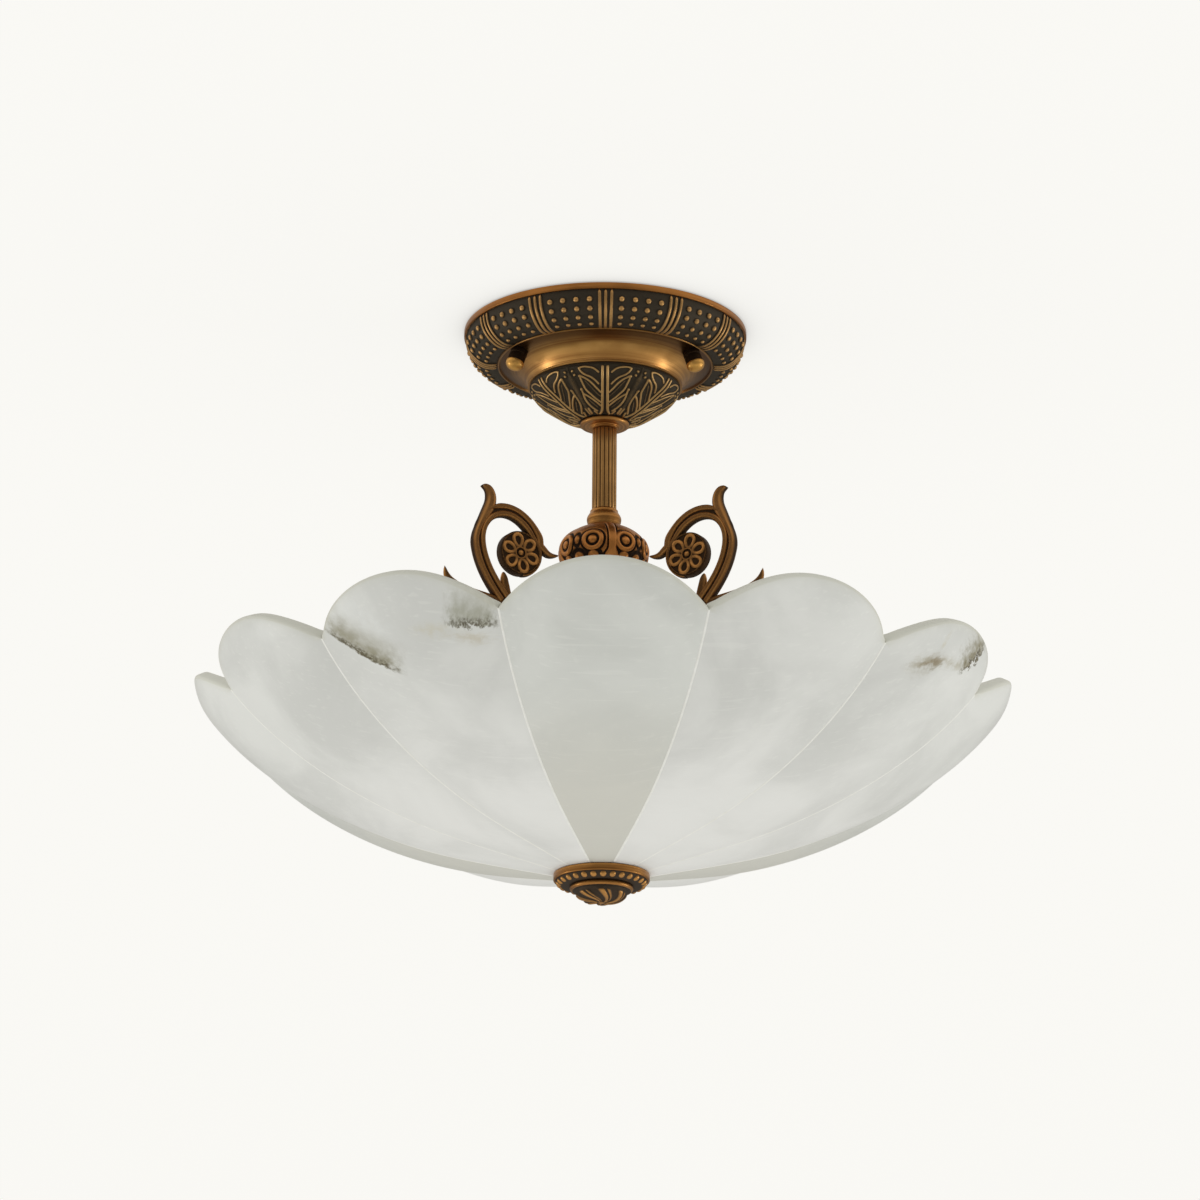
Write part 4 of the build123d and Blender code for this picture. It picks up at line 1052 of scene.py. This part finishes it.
def half_petal():
    """Sections from the spine over the edge and back inside, with the edge eased by a curve at both corners."""
    on_seam = np.zeros(SEAM_STEPS - 1)
    ease = np.concatenate([blend_step(0, 0.08, np.linspace(1, 0, LOBE_STEPS)), on_seam])
    round_r = SMALL_ROUND + LOBE_ROUND * ease
    lines, near = [], []
    for skin, foot in ((OUTSIDE, -9.2), (INSIDE, -2.4)):
        a, y, spine = half_edge(skin, foot)
        length = np.hypot(a - spine, y)
        cut = np.minimum(round_r / np.maximum(length, 0.1), 0.4)
        share = 1 - (1 - cut[:, None]) * np.linspace(0, 1, FACE_STEPS)
        lines.append(skin.at(a[:, None] + (spine - a)[:, None] * share, y[:, None] * (1 - share)))
        lines.append(skin.at(a, y))
        near.append(np.exp(-share * length[:, None] / 2.5))
    outer, outer_corner, inner, inner_corner = lines
    through = inner_corner - outer_corner
    pull = through * (round_r[:, None] / np.linalg.norm(through, axis=1, keepdims=True))
    t = np.linspace(0, 1, CORNER_STEPS)[1:, None]

    def corner(start, middle, end):
        """Curve from start to end, drawn to middle: (1-t)^2 A + 2t(1-t) P + t^2 B."""
        return (1 - t) ** 2 * start[:, None] + 2 * t * (1 - t) * middle[:, None] + t ** 2 * end[:, None]

    first = corner(outer[:, -1], outer_corner, outer_corner + pull)
    second = corner(inner_corner - pull, inner_corner, inner[:, -1])
    section = np.concatenate([outer, first, (inner_corner - pull)[:, None], second[:, :-1], inner[:, ::-1]],
                             axis=1)
    middle = np.ones((len(section), section.shape[1] - 2 * FACE_STEPS))
    on_lobe = np.concatenate([np.ones(LOBE_STEPS), on_seam])[:, None]
    raised = np.concatenate([near[0], middle, near[1][:, ::-1]], axis=1) * on_lobe
    is_outer = np.arange(section.shape[1]) < FACE_STEPS + CORNER_STEPS - 1
    section[..., 2] = np.where(is_outer, np.maximum(section[..., 2], FLAT_OUT), cut_inside(section))
    return section, raised


def petal_sheets():
    """Whole petal: the half section and its mirror image, joined along the spine, and two lids at the foot."""
    half, raised = half_petal()
    whole = np.concatenate([(half * (1, -1, 1))[::-1], half[1:]])
    raised = np.concatenate([raised[::-1], raised[1:]])
    faces = grid_faces(len(whole), whole.shape[1], round_columns=False)
    return [surface(whole, faces, raised), lid(whole[0]), lid(whole[-1])]


petal = petal_sheets()
for index in range(PETALS):
    stone = "alabaster_pale" if index % 4 else "alabaster_grey"
    add_piece(f"stone_petal_{index + 1:02d}", moved(petal, spun, index * 360 / PETALS), [stone],
              f"petal_{index + 1:02d}", "bowl", 50.0)


def seam_sheets():
    """Strip in a seam: slab between the two faces with a low round bead along the outside."""
    turn = np.linspace(0, math.pi, 7)[:, None]
    share = np.linspace(0, 1, 70)
    edges = []
    for skin, foot in ((OUTSIDE, 1.0), (INSIDE, 14.0)):
        top = skin.lobe(np.array([skin.notch()]))[0][0] - 0.6
        a = top + (foot - top) * share
        edges.append(skin.at(a, skin.seam(a, 0.0)))
    outside, inside = edges
    proud = unit(outside - inside)[:, None]
    beside = np.array([-math.sin(HALF_WEDGE), math.cos(HALF_WEDGE), 0])
    ridge = outside[:, None] + beside * 0.7 * np.cos(turn) + proud * 0.3 * np.sin(turn)
    back = inside[:, None] + beside * np.array([-0.35, 0.35])[:, None] - proud * 0.02
    ring = np.concatenate([ridge, back], axis=1)
    ring[..., 2] = np.maximum(cut_inside(ring), FLAT_OUT)
    return [surface(ring, grid_faces(len(share), ring.shape[1])), lid(ring[0]), lid(ring[-1])]


add_piece("seam_strips", spread(seam_sheets(), PETALS), ["seam_cement_white"], "seam_cement", "bowl")


# Finial

FINIAL_BEADS = 28
FINIAL_COLUMNS = 144
ROD_HOLE_R = 4.3
KNOB_COLUMNS = 240
KNOB_RIBS = 7
DOME_R = 16.4


def finial_cup_sheets():
    """Smooth band, a hollow with a ring of beads and a flat foot, turned about the axis."""
    band = eased([(26.3, -351.1), (26.3, -349.8), (29.2, -349.8), (29.2, -354.0), (27.9, -354.2)], 0.55)[4:]
    cove = curve_through([(27.9, -354.2), (27.3, -355.0), (25.6, -356.6), (23.7, -357.2)], 12)
    floor = [(22.6, -357.2), (ROD_HOLE_R, -357.2), (ROD_HOLE_R, -351.1), (26.3, -351.1)]
    ground = np.concatenate([band[-1:], cove, floor, band[:1]])
    ball = bead(9, 14, (2.25, 2.4, 1.85), (25.6, 0, -355.4), (0.62, 0, -0.78), 0.25)
    return [lathe(band, FINIAL_COLUMNS, 0.8), lathe(ground, FINIAL_COLUMNS, 0.12, 1),
            *spread([ball], FINIAL_BEADS, 2)]


def knob_sheets():
    """Ring and dome turned about the axis; grooved ribs that swirl from the middle lift the dome."""
    ring = eased([(ROD_HOLE_R, -357.25), (18.4, -357.25), (19.2, -358.0), (19.2, -359.4), (18.4, -360.2),
                  (DOME_R, -360.3)], 0.5)[:-4]
    dome = curve_through([(DOME_R, -360.3), (15.7, -362.2), (13.6, -364.7), (8.0, -366.9), (0.0, -367.7)], 80)
    reach = dome[:, :1]
    swirl = KNOB_RIBS * round_angles(KNOB_COLUMNS)[None, :] - 6.2 * (1 - reach / DOME_R) ** 0.8
    phase = (swirl / FULL_TURN + 0.5) % 1 - 0.5
    vein = np.clip(1 - ((phase - 0.08) / 0.09) ** 2, 0, 1)
    fade = blend_step(16.2, 15.2, reach) * blend_step(1.5, 3.5, reach)
    ribs = (half_round(phase / 0.33) - 0.7 * vein) * fade
    raised = np.clip(np.maximum(ribs, half_round(reach / 2.6)), 0, 1)
    lift = raised - 0.7 * blend_step(16.3, 15.4, reach)
    ring_sheet = lathe(ring, KNOB_COLUMNS, 0.8)
    dome_sheet = lathe(dome, KNOB_COLUMNS, raised, 1, lift)
    join = np.concatenate([ring_sheet[0][-KNOB_COLUMNS:], dome_sheet[0][:KNOB_COLUMNS]])
    bore = [ring[0], (ROD_HOLE_R, -364.8), (0.0, -364.8)]
    return [ring_sheet, dome_sheet, surface(join, grid_faces(2, KNOB_COLUMNS), 0.1, 1),
            lathe(bore, KNOB_COLUMNS, 0.2, 1)]


add_piece("beaded_cup", finial_cup_sheets(), ["ring_brass", "knob_brass"], "finial_cup", "bowl")
add_piece("swirl_knob", knob_sheets(), ["ring_brass", "knob_brass"], "finial_knob", "finial", crease=60.0)


# Lampholders and bulbs, along the bulb's axis from the face of the cluster body

HOLDER_AZIMUTHS = (0.0, 120.0, -120.0)
CLUSTER_FACE_R, HOLDER_Z = 22.0, -203.0
CAP_PITCH = 2.82
HOLDER = eased([(3.0, -3.4), (5.0, -3.4), (5.0, 0.05), (14.0, 0.05), (14.0, 9.0), (13.2, 10.0), (13.2, 12.0),
                (14.0, 13.0), (14.0, 38.4), (12.4, 40.0), (8.2, 40.0), (8.2, 15.0), (3.0, 15.0)], 0.6)
GLOBE = curve_through([(9.0, 45.05), (11.97, 50.65), (15.91, 54.09), (22.5, 70.0), (15.91, 85.91),
                       (8.5, 91.2), (0.0, 92.5)], 48)
CAP_ALONG = np.linspace(18.4, 38.0, 120)
CAP_THREAD = np.stack([6.55 + 0.33 * np.cos(CAP_ALONG / CAP_PITCH * FULL_TURN), CAP_ALONG], axis=1)
CAP = np.concatenate([[(0.0, 18.0), (5.6, 18.0)], CAP_THREAD, [
    (6.9, 38.6), (6.9, 40.8), (9.2, 44.0), (9.4, 44.5), (9.4, 45.0), (0.0, 45.0)]])
holder_sheet = lathe(HOLDER, 64, 0.5, closed=True)
globe_sheet = lathe(np.concatenate([[(0.0, 45.05)], GLOBE]), 72, 0.5)
cap_sheet = lathe(CAP, 48, 0.5)
for index, azimuth in enumerate(HOLDER_AZIMUTHS, 1):
    holder, globe, cap = [[sheet] for sheet in moved(
        [holder_sheet, globe_sheet, cap_sheet], placed, out(azimuth, CLUSTER_FACE_R, HOLDER_Z),
        out(azimuth + 90), out(azimuth))]
    add_piece(f"ceramic_holder_{index}", holder, ["white_ceramic"], f"lampholder_{index}", "base")
    add_piece(f"opal_globe_{index}", globe, ["opal_glass"], f"bulb_glass_{index}", f"bulb_{index}",
              60.0)
    add_piece(f"screw_cap_{index}", cap, ["bulb_metal"], f"bulb_cap_{index}", f"bulb_{index}",
              60.0)


# CAD nodes that keep their shape keep the frame's material too, apart from the ones here

def finish_node(node, material):
    """Puts a material in every slot of a CAD node's object."""
    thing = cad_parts[node]
    if not thing.material_slots:
        thing.data.materials.append(material)
    for place in thing.material_slots:
        place.material = material


for index in range(1, len(SCREW_AZIMUTHS) + 1):
    finish_node(f"canopy_washer_{index}", made["screw_brass"])
finish_node("earth_screws", bpy.data.materials["zinc_steel"])
for node in ("cluster_body", "cluster_cap"):
    finish_node(node, bpy.data.materials["plain_brass"])


# Stage: ceiling, floor, world, lamps and camera

BACKGROUND = rgb(251, 250, 246)


def stage_material(name, shine):
    """Pale plane: mostly its own colour to the camera, with a share of real light and its glow dimmed near the
    object by ambient occlusion as a painted contact shadow; clear from behind.
    """
    material = bpy.data.materials.new(name)
    material.use_nodes = True
    tree = material.node_tree
    tree.nodes.remove(tree.nodes["Principled BSDF"])
    seen = add_node(tree, "LightPath").outputs["Is Camera Ray"]
    matt = add_node(tree, "BsdfDiffuse", {"Color": BACKGROUND}).outputs[0]
    # painted contact shadow: ambient occlusion within 4 cm dims the glow
    contact_shade = add_node(tree, "AmbientOcclusion", {"Distance": 0.04}, samples=16).outputs["AO"]
    contact_shade = ramp(tree, contact_shade, 0.2, 1.0, 0.55, 1.0)
    glow = add_node(tree, "Emission", {"Color": BACKGROUND, "Strength": contact_shade}).outputs[0]
    shade = add_node(tree, "MixShader", {0: times(tree, seen, shine), 1: matt, 2: glow}).outputs[0]
    back = add_node(tree, "NewGeometry").outputs["Backfacing"]
    clear = add_node(tree, "BsdfTransparent").outputs[0]
    shade = add_node(tree, "MixShader", {0: back, 1: shade, 2: clear}).outputs[0]
    tree.links.new(shade, tree.nodes["Material Output"].inputs["Surface"])
    return material


def stage_plane(name, height, half, facing, material):
    """Square plane at a height; facing 1 looks up and -1 looks down."""
    corners = np.array([(-half, -half, height), (half, -half, height), (half, half, height),
                        (-half, half, height)])
    mesh = bpy.data.meshes.new(name)
    mesh.from_pydata(corners[::facing], [], [(0, 1, 2, 3)])
    mesh.materials.append(material)
    plane = add_object(name, mesh)
    plane.visible_shadow = False
    plane.visible_diffuse = False
    plane.visible_glossy = False


stage_plane("ceiling", 0.0006, 12.0, -1, stage_material("ceiling_white", 0.9))
stage_plane("floor", -2.4, 14.0, 1, stage_material("floor_white", 0.94))

world = bpy.data.worlds.new("studio")
bpy.context.scene.world = world
world.use_nodes = True
tree = world.node_tree
path = add_node(tree, "LightPath").outputs
x, y, z = split(tree, add_node(tree, "TexCoord").outputs["Generated"])
below = ramp(tree, z, -0.3, -0.8, 0.22, 0.74)
above = ramp(tree, z, 0.1, 0.6, 0.0, 0.5)
beside = ramp(tree, calculate(tree, "ABSOLUTE", x), 0.4, 0.95, 0.0, 0.3)
gloss = add_node(tree, "Background", {"Color": rgb(255, 250, 240),
                                      "Strength": plus(tree, below, above, beside)}).outputs[0]
level = scaled(tree, y, 0.18, scaled(tree, z, 0.15, 0.93))
overhead = ramp(tree, z, 0.45, 0.95, 1.0, 0.45)
ambient = tree.nodes["Background"]
fill(tree, ambient.inputs, {"Color": (1.0, 0.995, 0.975, 1), "Strength": times(tree, level, overhead)})
white = add_node(tree, "Background", {"Color": BACKGROUND, "Strength": 1.0}).outputs[0]
shade = add_node(tree, "MixShader", {0: path["Is Glossy Ray"], 1: ambient.outputs[0], 2: gloss}).outputs[0]
shade = add_node(tree, "MixShader", {0: path["Is Camera Ray"], 1: shade, 2: white}).outputs[0]
tree.links.new(shade, tree.nodes["World Output"].inputs["Surface"])

LAMP_SIZE = 0.7
LAMP_AIM = np.array([0, 0, -0.22])


def add_lamp(name, place, power):
    """Square soft lamp at a place, turned to the light's middle."""
    light = bpy.data.lights.new(name, "AREA")
    light.size = LAMP_SIZE
    light.energy = power
    lamp = add_object(name, light)
    lamp.location = place
    along = LAMP_AIM - np.array(place)
    flat = math.hypot(along[0], along[1])
    lamp.rotation_euler = (math.atan2(flat, -along[2]), 0, math.atan2(-along[0], along[1]))


add_lamp("left", (-2.9, 0.2, -1.15), 10)
add_lamp("right", (2.9, 0.2, -1.15), 11)

camera = bpy.data.cameras.new("camera")
camera.lens = 146.16
camera.sensor_width = 36.0
viewer = add_object("camera", camera)
viewer.location = (-0.00215, -2.8541, -1.0993)
viewer.rotation_mode = "ZYX"
viewer.rotation_euler = (math.radians(107.94), 0, math.radians(0.41))
bpy.context.scene.camera = viewer
bpy.context.scene.view_settings.view_transform = "Standard"
